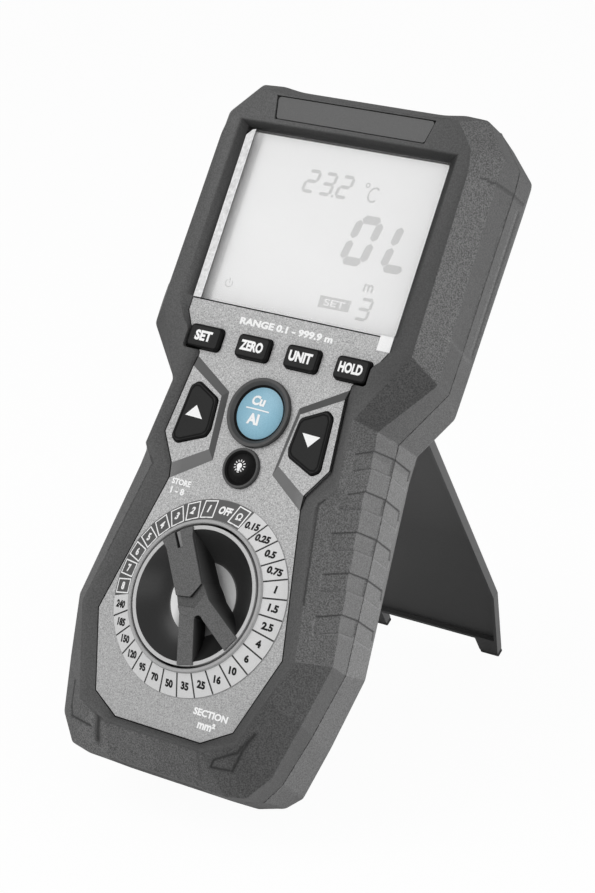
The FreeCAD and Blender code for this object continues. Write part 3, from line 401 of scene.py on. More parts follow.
REAR_EDGE = [(0, 166.5), (27, 166.5), (34, 167.8), (42.5, 167.8), (53.5, 157.4), (53.2, 151), (52.7, 91.5),
             (52.4, 78), (43.1, 63.5), (42.8, 56.5), (43.8, 43), (44.4, 36.5), (49.6, -8.9),
             (44.9, -34), (40.6, -49.4), (36, -54.6), (25.5, -57.2), (17, -57.4), (0, -57.4)]
BACK = [(0, 164.9), (26, 164.9), (33, 165.2), (40.5, 165), (46.8, 159.5), (46.8, 150.5), (45.7, 91.5),
        (45.5, 79.9), (36.4, 65.2), (36.6, 56), (37.9, 43), (38.5, 37), (43, -8.3),
        (38.6, -32), (34.5, -49.8), (29.5, -54.4), (20, -57.3), (16, -57.4), (0, -57.4)]
RIDGE_Z, CHAMFER_Z, PARTING_Z, REAR_Z, BACK_Z = 2.0, -7.0, -17.0, -28.0, -40.0
SKIN = 2.2  # boot's thickness
REVEAL = 0.15  # half of the visible line between the two boots
UNDER_Z = -1.6  # underside of the front border
SEAT_Z = BACK_Z + SKIN  # seat of the rigid back panel
BACK_MARGIN = 3.6
EDGE_ROUND = 0.3
BOOT_SHARP = 50.0  # degrees
BOOT_WELD = 2e-6

# Mouth of the border: at its top, at the plate's face and below it.
MOUTH = [((0, 155.3), (0, 153.4), (0, 153.2)),
         ((42.4, 155.3), (39.2, 153.2), (39.0, 152.9)),
         ((42.4, 94.4), (39.2, 94.4), (39.0, 94.4)),
         ((42.4, 93.8), (39.1, 93.8), (39.1, 93.8)),
         ((42.2, 91.4), (39.1, 89.2), (39.1, 89.2)),
         ((38.6, 86.0), (36.4, 84.6), (36.4, 84.6)),
         ((36.3, 83.9), (35.6, 83.5), (35.4, 83.5)),
         ((35.6, 82.5), (35.3, 82.5), (35.2, 82.5)),
         ((35.6, 77.4), (35.3, 77.4), (35.2, 77.5)),
         ((34.8, 76.7), (34.6, 77.0), (34.6, 77.1)),
         ((32.6, 76.7), (30.2, 77.0), (30.2, 77.1)),
         ((32.4, 76.0), (29.8, 76.3), (29.8, 76.3)),
         ((34.2, 66.2), (29.7, 72.0), (29.7, 72.0)),
         ((36.6, 43.9), (32.3, 48.6), (32.3, 48.6)),
         ((31.4, 38.2), (26.1, 39.2), (26.1, 39.2)),
         ((31.3, 36.6), (25.8, 34.8), (25.8, 34.8)),
         ((40.8, -11.0), (36.3, -11.6), (36.3, -11.6)),
         ((30.0, -40.1), (27.2, -37.3), (27.2, -37.3)),
         ((18.3, -45.3), (16.8, -43.4), (16.8, -43.4)),
         ((0, -45.3), (0, -43.4), (0, -43.4))]
NAME_RECESS = [(-28.9, 156.5), (28.9, 156.5), (30.7, 164.6), (-30.7, 164.6)]
NAME_FLOOR = 0.5
SHOULDER = (0.3, 0.7 * RIDGE_Z)  # share of the way to the plate, and height, of the mouth's rounded edge

COLUMN_STEP = [2.0, 0.8, 0.5, 0.6, 0.5, 0.7, 0.6, 0.5, 0.25, 0.25, 0.25, 0.25, 0.45, 0.45, 0.4, 0.4, 0.4, 0.6]
ROW_STEP = 0.45
SOFTENING = 7  # smoothing passes that round the boot's edges


def inset(points, distance):
    """Moves every side of a clockwise closed outline inwards."""
    moved = []
    for i, (x, y) in enumerate(points):
        before, after = points[i - 1], points[(i + 1) % len(points)]
        a = Vector((x - before[0], y - before[1])).normalized()
        b = Vector((after[0] - x, after[1] - y)).normalized()
        na, nb = Vector((a.y, -a.x)), Vector((b.y, -b.x))
        moved.append(Vector((x, y)) + (na + nb) * distance / (1 + na.dot(nb)))
    return moved


def mirrored(half):
    return list(half) + [(-x, y) for x, y in reversed(half) if x > 0]


def shrunk(half, distance):
    """Right half of an outline after its whole loop moved inwards."""
    return [tuple(p) for p in inset(mirrored(half), distance)][:len(half)]


def between(upper, lower, share):
    return [(a[0] + share * (b[0] - a[0]), a[1] + share * (b[1] - a[1])) for a, b in zip(upper, lower)]


def column_marks():
    corners, shares = [], []
    for i, step in enumerate(COLUMN_STEP):
        count = max(1, round(math.dist(CHAMFER[i], CHAMFER[i + 1]) / step))
        corners += [i] * count
        shares += [k / count for k in range(count)]
    return np.array(corners + [len(COLUMN_STEP) - 1]), np.array(shares + [1.0])[:, None]


MARK_CORNER, MARK_SHARE = column_marks()


def ring(half, height):
    """A level of the boot as a closed row of columns, clockwise from the top's middle."""
    p = np.array(half, float)
    right = p[MARK_CORNER] * (1 - MARK_SHARE) + p[MARK_CORNER + 1] * MARK_SHARE
    left = right[1:-1][::-1] * np.array([-1.0, 1.0])
    flat = np.concatenate([right, left])
    return np.column_stack([flat, np.full(len(flat), height)])


def rows(levels):
    """Rows of columns through (half outline, height) levels, spaced down the wall."""
    made = []
    for (upper, high), (lower, low) in zip(levels, levels[1:]):
        first, last = ring(upper, high), ring(lower, low)
        drop = np.linalg.norm(last - first, axis=1).max()
        count = max(1, round(drop / ROW_STEP))
        made += [first + (last - first) * k / count for k in range(count)]
    return np.array(made + [ring(*levels[-1])])


def softened(grid):
    """Rounds the edges of a grid of rows; its first and last row stay."""
    for _ in range(SOFTENING):
        mean = (np.roll(grid, 1, 1)[1:-1] + np.roll(grid, -1, 1)[1:-1] + grid[2:] + grid[:-2]) / 4
        grid[1:-1] += 0.5 * (mean - grid[1:-1])
    return grid


def outward(grid):
    along = np.roll(grid, -1, 1) - np.roll(grid, 1, 1)
    down = np.gradient(grid, axis=0)
    normal = np.cross(along, down)
    return normal / np.maximum(np.linalg.norm(normal, axis=2, keepdims=True), 1e-9)


# -------- relief on the boot, with painted shade in its creases and painted highlights on its edges
FINGERS = ((59.3, -1.2), (46.3, -1.5), (33.4, -1.5), (20.6, -1.2), (7.5, -1.2))  # top, front end
FINGER_LINE = ([-30.0, -28.0, -17.0, -7.0, -1.0], [-3.5, -1.0, 0.2, 0.0, -3.3])
FINGER_HEIGHT, FINGER_REAR, FINGER_DEPTH, FINGER_CORNER = 5.7, -31.0, 0.6, 0.9
FINGER_EDGE, PANEL_EDGE = (-0.4, 0.05), (-0.8, 0.0)  # a recess's edge falls between these distances
FINGER_INNER = 25.0  # the finger recesses lie outside this half width
LEFT_FRONT = CHAMFER_Z - 0.6  # those on the left end here
PANEL = (97.0, 150.0, -24.5, -1.8)  # recess beside the display: low, high, rear, front
PANEL_DEPTH, PANEL_CORNER = 0.35, 1.5
PANEL_SLANT = 0.12  # rise of its lower edge per millimetre towards the front
HEAD_HALF = 40.0  # the panel and the strip lie outside this half width
STRIP = (98.0, 147.0, -25.6)  # groove along the head's rear edge
RIDGE_LINE = (6.4, 39.7, 0.15)  # stretch of the ridge with a fine groove, and how far down it lies
# Marks at the bottom end, sunk and darkened with painted shade: line, its side and its reach.
GROOVES = (([(35.0, -35.5), (31.2, -42.6), (23.5, -46.9), (22.4, -49.3), (29.8, -48.4), (35.0, -35.5)],
            1, 0.4),
           ([(37.0, -36.2), (35.6, -47.2), (25.4, -48.4)], -1, 0.4),
           ([(21.4, -44.8), (22.4, -51.6)], -1, 1.3))
PAD = (17.9, -45.0)  # half width and top of the sunken pad at the bottom end
PAD_DEPTH = 0.6
MARKS_REAR = -15.0  # marks and pad end here
# Creases: reach, depth and darkness of their painted shade. Glints, the painted highlights on the edges
# beside them: distance and reach.
FINGER_CREASE, FINGER_GLINT = (0.22, 0.35, 1.0), (0.15, 0.25)
PANEL_CREASE, PANEL_GLINT = (0.4, 0.3, 0.8), (0.0, 0.5)
STRIP_CREASE, STRIP_GLINT = (0.75, 0.5, 0.5), (1.7, 0.6)
RIDGE_CREASE = (0.3, 0.25, 0.7)
# The pad's crease has no depth: it is only a line of painted shade along the pad's edge.
PAD_CREASE = (0.6, 0.0, 0.5)
MARK_DEPTH = 0.3
# Display greys of the moulding from the top's middle round to the bottom's, one per side of the outline,
# painted light and shade
# set by how each side faces the lamps: the slopes to the right and to the left, the front boot's sides and
# the rear boot's.
SLOPE_TONES = (80, 80, 84, 96, 92, 96, 92, 62, 80, 86, 86, 86, 70, 65, 66, 72, 82, 86)
LEFT_TONES = (80, 80, 84, 96, 92, 98, 92, 62, 80, 88, 88, 88, 78, 84, 88, 98, 98, 92)
SIDE_TONES = (90, 90, 92, 96, 92, 92, 90, 94, 110, 116, 116, 116, 94, 88, 90, 94, 92, 94)
REAR_TONES = (90, 90, 92, 96, 96, 100, 98, 104, 120, 130, 130, 130, 116, 112, 106, 100, 92, 92)
BORDER_TONE = 70  # the level border's grey on the middle line
BORDER_LEAN = 0.17  # painted shade: darkening per millimetre towards the right
BORDER_TOP = (146.0, 158.0, 8)  # painted light: heights between which it turns paler by so much
BORDER_WAIST = 14  # painted light: it is paler beside the dial too, and fades in over these widths and heights
WAIST_SIDE, WAIST_LOW, WAIST_HIGH = (18.0, 32.0), (-26.0, -10.0), (66.0, 84.0)
BORDER_BAND = 0.25  # the border reaches this far down its edge
CREASE_SHADE, GLINT_SHADE = 0.88, 0.3  # share of the grey lost to painted shade in a crease and gained from a painted highlight in a glint
SLOPE_GRAIN, PLAIN_GRAIN = 1.0, 0.5
DISPLAY_WALLS = (42.5, 94.0, 155.4)  # half width, low and high end of the walls round the display that darken with painted shade
DISPLAY_TOP = 153.0
TOP_FALL, LEFT_FALL, RIGHT_FALL = 0.2, 2.6, 1.6  # how late the walls' painted shade deepens on their way down
# Strongest share of the grey that the walls' painted shade takes away.
WALL_SHADE = 0.93


def step(value, low, high):
    t = np.clip((value - low) / (high - low), 0.0, 1.0)
    return t * t * (3 - 2 * t)


def trace(distance, reach):
    """A soft line: 1 on it and fading within its reach."""
    return np.exp(-(distance / reach) ** 2)


def box_distance(u, v, half_u, half_v, corner):
    """Signed distance to a rounded box about the origin."""
    du, dv = np.abs(u) - half_u + corner, np.abs(v) - half_v + corner
    outside = np.hypot(np.maximum(du, 0), np.maximum(dv, 0))
    return outside + np.minimum(np.maximum(du, dv), 0) - corner


def line_distance(x, y, line):
    best = np.full(x.shape, 1e9)
    for (ax, ay), (bx, by) in zip(line, line[1:]):
        dx, dy = bx - ax, by - ay
        t = np.clip(((x - ax) * dx + (y - ay) * dy) / (dx * dx + dy * dy), 0, 1)
        best = np.minimum(best, np.hypot(x - ax - t * dx, y - ay - t * dy))
    return best


def relief(grid):
    """Depth in millimetres of the moulded recesses at each point of the grid, with the painted shade of their
    creases and the painted highlights of their edges.
    """
    across, y, z = np.moveaxis(grid, -1, 0)
    x = np.abs(across)
    depth, dark, bright = np.zeros((3, *x.shape))

    def press(where, deep, shade=0.0):
        depth[...] += deep * where
        dark[...] += shade * where

    # A crease sinks the skin and darkens it with painted shade.
    def crease(where, distance, reach, deep, shade):
        line = where * trace(distance, reach)
        press(line, deep, shade)
        return line

    # A glint is a painted highlight on an edge.
    def glint(where, distance, offset, reach):
        bright[...] += where * trace(distance - offset, reach)

    side = (x > FINGER_INNER) & ((across > 0) | (z < LEFT_FRONT))
    half = FINGER_HEIGHT / 2
    for top, front in FINGERS:
        v = y - (top + np.interp(z, *FINGER_LINE)) + half
        away = box_distance(v, z - (front + FINGER_REAR) / 2, half, (front - FINGER_REAR) / 2, FINGER_CORNER)
        press(side * (1 - step(away, *FINGER_EDGE)), FINGER_DEPTH)
        upper = crease(side * (v > 0) * (z < front) * (z > FINGER_REAR), v - half, *FINGER_CREASE)
        glint(side * (1 - upper), away, *FINGER_GLINT)

    head = x > HEAD_HALF
    low, high, rear, front = PANEL
    away = box_distance(y - (low + high) / 2, z - (rear + front) / 2, (high - low) / 2, (front - rear) / 2,
                        PANEL_CORNER)
    press(head * (1 - step(away, *PANEL_EDGE)), PANEL_DEPTH)
    crease(head * (z < front) * (z > rear - 2.5), y - high, *PANEL_CREASE)
    glint(head * (z < -5.0) * (z > rear), y - low - PANEL_SLANT * (z - PARTING_Z), *PANEL_GLINT)

    low, high, groove = STRIP
    stretch = head * step(y, low - 1, low + 1) * (1 - step(y, high - 1, high + 1))
    crease(stretch, z - groove, *STRIP_CREASE)
    glint(stretch, z - groove, *STRIP_GLINT)

    for line, sign, reach in GROOVES:
        crease(z > MARKS_REAR, line_distance(sign * across, y, line), reach, MARK_DEPTH, z > CHAMFER_Z - 1)
    half, top = PAD
    press((1 - step(x, half - 0.3, half + 0.5)) * (1 - step(y, top - 1.5, top)) * (z > MARKS_REAR), PAD_DEPTH)
    crease((y < top) * (z > -5.0), across - half, *PAD_CREASE)
    return depth, np.clip(dark, 0, 1), np.clip(bright, 0, 1)


# Painted light and shade of the level border: darker towards the right, paler at the top end and beside the
# dial.
def border_shade(points):
    x, y = points[..., 0], points[..., 1]
    start, end, gain = BORDER_TOP
    beside = step(x, *WAIST_SIDE) * step(y, *WAIST_LOW) * (1 - step(y, *WAIST_HIGH))
    tone = BORDER_TONE - BORDER_LEAN * x + gain * step(y, start, end) + BORDER_WAIST * beside
    return np.vectorize(level)(tone)


def mouth_shade(points):
    """Painted shade on the mouth's wall: the share of the border's grey left, falling to black at the
    display's foot.
    """
    x, y, z = points.T
    half, low, high = DISPLAY_WALLS
    inside = (np.abs(x) < half) & (y > low) & (y < high)
    fall = np.where(y > DISPLAY_TOP, TOP_FALL, np.where(x < 0, LEFT_FALL, RIGHT_FALL))
    sunk = np.clip((RIDGE_Z - z) / RIDGE_Z, 0.0, 1.0) ** fall
    return 1.0 - WALL_SHADE * sunk * inside


def tones(grid, dark, bright):
    """Linear grey of the moulding, its painted light and shade included, and the strength of its grain at
    each point of the grid.
    """
    z = grid[..., 2]
    corner = np.minimum(np.concatenate([MARK_CORNER, MARK_CORNER[1:-1][::-1]]), len(SLOPE_TONES) - 1)
    slope, left, side, rear = [np.array([level(tone) for tone in row])[corner]
                               for row in (SLOPE_TONES, LEFT_TONES, SIDE_TONES, REAR_TONES)]
    slope = np.where(grid[..., 0] < 0, left, slope)
    shade = np.where(z > CHAMFER_Z, slope, np.where(z > PARTING_Z, side, rear))
    shade = np.where(z > RIDGE_Z - BORDER_BAND, border_shade(grid), shade)
    grain = np.where((z > CHAMFER_Z) & (z < RIDGE_Z - BORDER_BAND), SLOPE_GRAIN, PLAIN_GRAIN)
    return shade * (1 - CREASE_SHADE * dark) * (1 + GLINT_SHADE * bright), grain


def boot(name, grid, fills, shade, grain):
    """Closed boot from its outer grid, the fills at its ends and its inner skin."""
    points, faces = [], []
    for made_points, made_faces in (wall(grid), *fills):
        faces += [tuple(len(points) + k for k in face) for face in made_faces]
        points += list(made_points)
    obj = piece(name, points, faces, "case", "boot_rubber", closed=False, sharp=BOOT_SHARP)
    points = np.array(points, float)
    # Points off the grid take the border's painted light and shade and the mouth wall's painted shade.
    for label, array, rest in (("shade", shade, border_shade(points) * mouth_shade(points)),
                               ("grain", grain, np.full(len(points), PLAIN_GRAIN))):
        data = rest.astype(np.float32)
        data[:array.size] = array.ravel()
        obj.data.attributes.new(label, "FLOAT", "POINT").data.foreach_set("value", data)
    close(obj.data, BOOT_WELD)
    smooth(obj.data, BOOT_SHARP)
    return obj


def skin(levels):
    """Loops of the boot's inner face at (half outline, height) levels."""
    return [at(mirrored(shrunk(half, SKIN)), height) for half, height in levels]


def plan(loop):
    """A loop seen along Z."""
    return [tuple(point[:2]) for point in loop]


def make_front_boot():
    low = PARTING_Z + REVEAL
    end = between(CHAMFER, PARTING, (CHAMFER_Z - low) / (CHAMFER_Z - PARTING_Z))
    grid = softened(rows([(shrunk(RIDGE, EDGE_ROUND), RIDGE_Z), (RIDGE, RIDGE_Z), (CHAMFER, CHAMFER_Z),
                          (end, low)]))
    depth, dark, bright = relief(grid)
    # The fine groove along the ridge is sunk and darkened with painted shade.
    start, stop, down = RIDGE_LINE
    reach, deep, shade = RIDGE_CREASE
    y, z = grid[..., 1], grid[..., 2]
    ridge = (np.abs(z - RIDGE_Z + down) < reach) * (y > start) * (y < stop)
    depth[0], depth[-1] = 0, 0
    depth[1:] += deep * ridge[1:]
    shade, grain = tones(grid, np.clip(dark + shade * ridge, 0, 1), bright)
    grid = grid - outward(grid) * depth[..., None]
    top, middle, under = [mirrored([m[k] for m in MOUTH]) for k in range(3)]
    share = (RIDGE_Z - UNDER_Z) / (RIDGE_Z - CHAMFER_Z)
    inner = skin([(between(RIDGE, CHAMFER, share), UNDER_Z), (CHAMFER, CHAMFER_Z), (end, low)])
    shoulder = between(top, middle, SHOULDER[0])
    fills = [fill([plan(grid[0]), top, NAME_RECESS], RIDGE_Z),
             fill([plan(grid[-1]), plan(inner[-1])], low),
             wall([at(top, RIDGE_Z), at(shoulder, SHOULDER[1]), at(middle, 0.0), at(under, UNDER_Z)]),
             fill([plan(inner[0]), under], UNDER_Z),
             wall(inner),
             wall([at(NAME_RECESS, RIDGE_Z), at(NAME_RECESS, NAME_FLOOR)]),
             fill([NAME_RECESS], NAME_FLOOR)]
    return boot("front_boot_skin", grid, fills, shade, grain)


def make_rear_boot():
    high = PARTING_Z - REVEAL
    start = between(PARTING, REAR_EDGE, (PARTING_Z - high) / (PARTING_Z - REAR_Z))
    grid = softened(rows([(start, high), (REAR_EDGE, REAR_Z), (BACK, BACK_Z),
                          (shrunk(BACK, EDGE_ROUND), BACK_Z)]))
    depth, dark, bright = relief(grid)
    depth[0], depth[-1] = 0, 0
    shade, grain = tones(grid, dark, bright)
    grid = grid - outward(grid) * depth[..., None]
    window = [tuple(p) for p in inset(mirrored(BACK), BACK_MARGIN)]
    share = (REAR_Z - SEAT_Z) / (REAR_Z - BACK_Z)
    inner = skin([(start, high), (REAR_EDGE, REAR_Z), (between(REAR_EDGE, BACK, share), SEAT_Z)])
    fills = [fill([plan(grid[0]), plan(inner[0])], high),
             fill([plan(grid[-1]), window], BACK_Z),
             wall(inner),
             fill([plan(inner[-1]), window], SEAT_Z),
             wall([at(window, BACK_Z), at(window, SEAT_Z)])]
    return boot("rear_boot_skin", grid, fills, shade, grain)


SOCKET_X, SOCKET_Y, SOCKET_Z = 12.0, 165.0, -24.5
SOCKET_HOLE, SOCKET_CUT = 6.1, 20.0  # radius and length of the holes


def drilled(obj):
    """Opens the two round holes of the test sockets in the rear boot's end wall."""
    for side in (-1, 1):
        bpy.ops.mesh.primitive_cylinder_add(vertices=48, radius=SOCKET_HOLE * MM, depth=SOCKET_CUT * MM)
        cutter = bpy.context.object
        cutter.rotation_mode = "QUATERNION"
        cutter.rotation_quaternion = UP.to_track_quat("Z", "X")
        cutter.location = Vector(world([(side * SOCKET_X, SOCKET_Y, SOCKET_Z)])[0])
        modifier = obj.modifiers.new("socket_hole", "BOOLEAN")
        modifier.operation = "DIFFERENCE"
        modifier.solver = "EXACT"
        modifier.object = cutter
        bpy.context.view_layer.update()
        evaluated = obj.evaluated_get(bpy.context.evaluated_depsgraph_get())
        cut = bpy.data.meshes.new_from_object(evaluated)
        obj.modifiers.clear()
        obj.data = cut
        bpy.data.objects.remove(cutter)
    obj.data.set_sharp_from_angle(angle=math.radians(BOOT_SHARP))
    return obj


front_boot = make_front_boot()
rear_boot = drilled(make_rear_boot())
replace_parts(front_boot, "front_boot")
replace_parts(rear_boot, "rear_boot")
SPECKLE = (0.36, 0.64, 0.5)  # range of the noise and how far the grain swings the grey


def paint_boot_light_and_shade():
    """The boot's colour: painted light and shade, each moulded face in its own grey by how it faces the
    lamps, with painted shade in its creases and painted highlights on its edges, under a fine grain.
    """
    paint = PAINTS["boot_rubber"]
    low, high, swing = SPECKLE
    speckle = paint.ramp(paint.fine, low, high, swing, -swing)
    grain = paint.calculate("MULTIPLY_ADD", speckle, paint.attribute("grain"), 1.0)
    shade = paint.calculate("MULTIPLY", paint.attribute("shade"), grain)
    paint.recolour(add_node(paint.tree, "CombineColor", {0: shade, 1: shade, 2: shade})[0])


paint_boot_light_and_shade()

# -------- materials of the CAD nodes, and painted light and shade on some paints
for part in frame["record"]["subparts"]:
    finish_with(frame["nodes"][part["node"]], part["material_slot"])

STAND_OPEN = math.radians(64.0)
POINTER = 126.0  # direction of the selector's pointer
PAD_FLAT = (0.985, 0.965)  # cosines between which a pad's slope begins
PAD_SHADE_LEFT, PAD_SHADE_RIGHT, PAD_SHADE_UPPER, PAD_SHADE_LOWER = 95, 75, 72, 115  # greys of the pads' slopes by the way they face: partly their plastic, partly painted shade
PLATE_LOW = (20.0, -35.0, 128, 0.3)  # heights between which the plate darkens, the grey and its share
KNOB_WALL_SHADE = (6.0, 14, 74, 18)  # painted shade on the handle's sides: height of the dark foot, greys at foot and top and on the faces turned away from the pointer
FLOOR_REFLECTION_RIGHT, FLOOR_REFLECTION_LEFT = (4.0, 12.0, 164), (-5.0, -9.0, 230)  # painted reflection of the lamps: where the bowl's floor pales to this grey
KEY_FLAT = (0.98, 0.94)  # cosines between which a key's side begins
# Grey of the black keys' sides: painted shade.
KEY_SIDE_SHADE = 8
STAND_UPPER, STAND_LOWER = (0.0, 55.0, 100), (50.0, 115.0, 46)  # stretches from the hinge, and their greys
# Grey of the stand's side faces that turn to the right: painted light.
STAND_LIT_SIDE = 96


def shade_plate_pad_slopes():
    """The raised pads' slopes are darker than the plate, partly as their own plastic and partly as painted
    shade set by which way each faces: the upper slopes, which face down, darkest and the lower ones lightest.
    """
    paint = PAINTS["plate_grey"]
    slope_shade = paint.mix(paint.facing(SIDE, -0.2, 0.2), PAD_SHADE_LEFT, PAD_SHADE_RIGHT)
    slope_shade = paint.mix(paint.facing(UP, 0.1, 0.3), slope_shade, PAD_SHADE_UPPER)
    slope_shade = paint.mix(paint.facing(UP, -0.1, -0.3), slope_shade, PAD_SHADE_LOWER)
    start, end, grey, share = PLATE_LOW
    level_part = paint.mix(paint.reaching(UP, start, end, share), paint.tint, grey)
    paint.recolour(paint.mix(paint.facing(OUT, *PAD_FLAT), level_part, slope_shade))


def paint_knob_shade_and_reflection():
    """Painted shade darkens the handle's sides towards the bowl and on the faces turned away from the
    pointer; a painted reflection of the lamps makes the bowl's floor pale at its edges.
    """
    back = direction(*polar(-1.0, POINTER), 0.0)
    high, foot_grey, top_grey, back_grey = KNOB_WALL_SHADE
    for name in ("knob_matte", "knob_hub"):
        paint = PAINTS[name]
        sides = paint.mix(paint.reaching(OUT, 0.0, high), foot_grey, top_grey)
        sides = paint.mix(paint.facing(back, 0.6, 0.8), sides, back_grey)
        paint.recolour(paint.mix(paint.facing(OUT, 0.6, 0.85), sides, paint.tint))
    paint = PAINTS["knob_floor"]
    tint = paint.tint
    for start, end, grey in (FLOOR_REFLECTION_RIGHT, FLOOR_REFLECTION_LEFT):
        tint = paint.mix(paint.reaching(SIDE, start, end), tint, grey)
    paint.recolour(tint)


def shade_key_sides():
    """Painted shade makes the black keys' sides darker than their tops."""
    paint = PAINTS["key_black"]
    paint.recolour(paint.mix(paint.facing(OUT, *KEY_FLAT), paint.tint, KEY_SIDE_SHADE))


def tint_stand_and_light_its_side():
    """The stand's inner face darkens towards its foot; painted light makes the side faces that turn to the
    right pale.
    """
    paint = PAINTS["stand_plastic"]
    down = direction(0.0, -math.cos(STAND_OPEN), -math.sin(STAND_OPEN))
    hinge = Vector(JOINTS["stand_fold"]["pos_m"])
    near, far, grey = STAND_UPPER
    tint = paint.mix(paint.reaching(down, near, far, origin=hinge), grey, paint.tint)
    near, far, grey = STAND_LOWER
    tint = paint.mix(paint.reaching(down, near, far, origin=hinge), tint, grey)
    paint.recolour(paint.mix(paint.facing(SIDE, 0.5, 0.8), tint, STAND_LIT_SIDE))


shade_plate_pad_slopes()
paint_knob_shade_and_reflection()
shade_key_sides()
tint_stand_and_light_its_side()


def soften(node, width):
    """Rounds a CAD node's edges; its split vertices are welded first."""
    obj = frame["nodes"][node]
    obj.modifiers.new("weld", "WELD").merge_threshold = 1e-5
    bevel(obj, width)


for node, width in (("stand_leaf", 0.4), ("stand_feet", 0.3), ("name_plate", 0.15),
                    ("key_ring_material", 0.2), ("key_ring_light", 0.2), ("battery_cover", 0.2)):
    soften(node, width)

# -------- selector
HANDLE_REACH = 22.4
ARM = [(18.4, 5.0), (1.5, 4.8), (-1.1, 0.0)]
HUB = [(2.0, 4.8), (-1.6, 5.4), (-4.7, 0.0)]
LEGS = [(-4.7, 0.0), (-1.6, 5.35), (-4.2, 5.5), (-19.45, 11.2), (-21.6, 6.0), (-9.4, 1.6), (-8.2, 1.3),
        (-7.5, 0.7), (-7.4, 0.0)]
NOTCH_START, NOTCH_HALF = 16.6, 0.95
NOTCH_END, NOTCH_FLOOR, NOTCH_UNDER = 22.2, 4.05, 3.0
NOTCH_SHADE = (-0.95, -0.35)  # painted shadow: the dark line along the notch's floor beside its wall
CAP = 1.5  # thickness of the arm's cap, which the notch cuts through
CAP_SEAT = 0.02  # the cap sinks this far into the arm
FLARE = 2.4  # the handle's foot is wider than its top on each side
FLARE_HALF, FLARE_END = 4.0, -21.0  # only points outside and above these are flared
FLARE_REACH = 20.5  # radius within which the foot stays
ARM_PEAK, ARM_FALL = 6.45, 0.09
HUB_PEAK, HUB_FALL = 5.4, -0.03
LEG_PEAK, LEG_FALL = 5.83, -0.066
TIP_HALF = 5.9
EDGE, FINE_EDGE = 0.15, 0.03  # rounding of the handle's edges
BOWL_RIM = (21.3, 3.9)
BOWL_FLOOR = (12.4, -2.0)
BOWL_UNDER = (14.3, -4.0)
BOWL_OUTER = (21.3, -1.0)
BOWL_DISH = 1.5  # steepness of the dished wall at its rim
HANDLE_FOOT = -2.6


def turned(points, angle=POINTER):
    c, s = math.cos(math.radians(angle)), math.sin(math.radians(angle))
    return [(a * c + b * s, a * s - b * c) for a, b in points]


def both(half):
    """Closes an outline given on one side of the pointer's line."""
    return [(a, b) for b, a in mirrored([(b, a) for a, b in half])]


def slope(peak, fall):
    """Plane with this height at the axis that falls along the pointer by so much per millimetre."""
    (c, s), = turned([(1.0, 0.0)])
    return lambda x, y: peak - fall * (x * c + y * s)


def tip(from_half, to_half, count=4):
    """Points on the round end of the pointer."""
    halves = [from_half + (to_half - from_half) * k / count for k in range(count + 1)]
    return [(math.sqrt(HANDLE_REACH ** 2 - b * b), b) for b in halves]


def flared(half):
    """Foot of a half outline: its outer side is wider, and it stays inside the bowl."""
    wide = [Vector((a, b + FLARE * (b > FLARE_HALF and a > FLARE_END))) for a, b in half]
    return [tuple(p * min(1.0, FLARE_REACH / p.length)) for p in wide]


def handle_part(name, half, top, low, wide=True, edge=EDGE, paint="knob_matte"):
    foot = turned(both(flared(half))) if wide else None
    shape = solid(turned(both(half)), top, low, foot)
    return bevel(piece(name, *shape, "selector", "knob_matte", paint), edge)


cap_plan = [(NOTCH_START, 0.0), (NOTCH_START, NOTCH_HALF)] + tip(NOTCH_HALF, TIP_HALF) + ARM
handle = handle_part("knob_handle_cap", cap_plan, slope(ARM_PEAK, ARM_FALL), slope(ARM_PEAK - CAP, ARM_FALL),
                     wide=False)
handle_part("knob_handle_arm", tip(0.0, TIP_HALF) + ARM, slope(ARM_PEAK + CAP_SEAT - CAP, ARM_FALL),
            HANDLE_FOOT, edge=FINE_EDGE)
handle_part("knob_handle_hub", HUB, slope(HUB_PEAK, HUB_FALL), HANDLE_FOOT, paint="knob_hub")
handle_part("knob_handle_legs", LEGS, slope(LEG_PEAK, LEG_FALL), HANDLE_FOOT)
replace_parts(handle, "knob_handle")


def box(left, right, low, high):
    """Corners of an upright rectangle."""
    return [(left, low), (right, low), (right, high), (left, high)]


notch = solid(turned(box(NOTCH_START - 0.1, NOTCH_END, -1.0, 1.0)), NOTCH_FLOOR, NOTCH_UNDER)
piece("knob_handle_notch", *notch, "selector", "knob_matte", "notch_grey")
# A dark strip on the notch's floor is the painted shadow of its wall.
patch("knob_notch_painted_shadow", turned(box(NOTCH_START, NOTCH_END, *NOTCH_SHADE)), NOTCH_FLOOR + PRINT_LIFT,
      "knob_matte", "line_black", "selector")


def bowl_profile(count=24):
    """Dished wall from the rim down to the flat floor, closed underneath."""
    (rim, high), (floor, low) = BOWL_RIM, BOWL_FLOOR
    shares = [k / count for k in range(count + 1)]
    dish = [(rim - (rim - floor) * u, high - (high - low) * u * (BOWL_DISH - (BOWL_DISH - 1) * u))
            for u in shares]
    return dish + [(0.0, low), (0.0, BOWL_UNDER[1]), BOWL_UNDER, BOWL_OUTER]


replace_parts(spun("knob_bowl_skin", bowl_profile(), "selector", "knob_gloss"), "knob_bowl")
# A thin disc laid on the bowl's floor carries the painted reflection.
bowl_floor, floor_z = BOWL_FLOOR
floor_top, floor_foot = floor_z + 0.03, floor_z - 0.1
floor_profile = [(0.0, floor_top), (bowl_floor - 0.4, floor_top), (bowl_floor - 0.3, floor_foot),
                 (0.0, floor_foot)]
spun("knob_bowl_floor", floor_profile, "selector", "knob_gloss", "knob_floor")

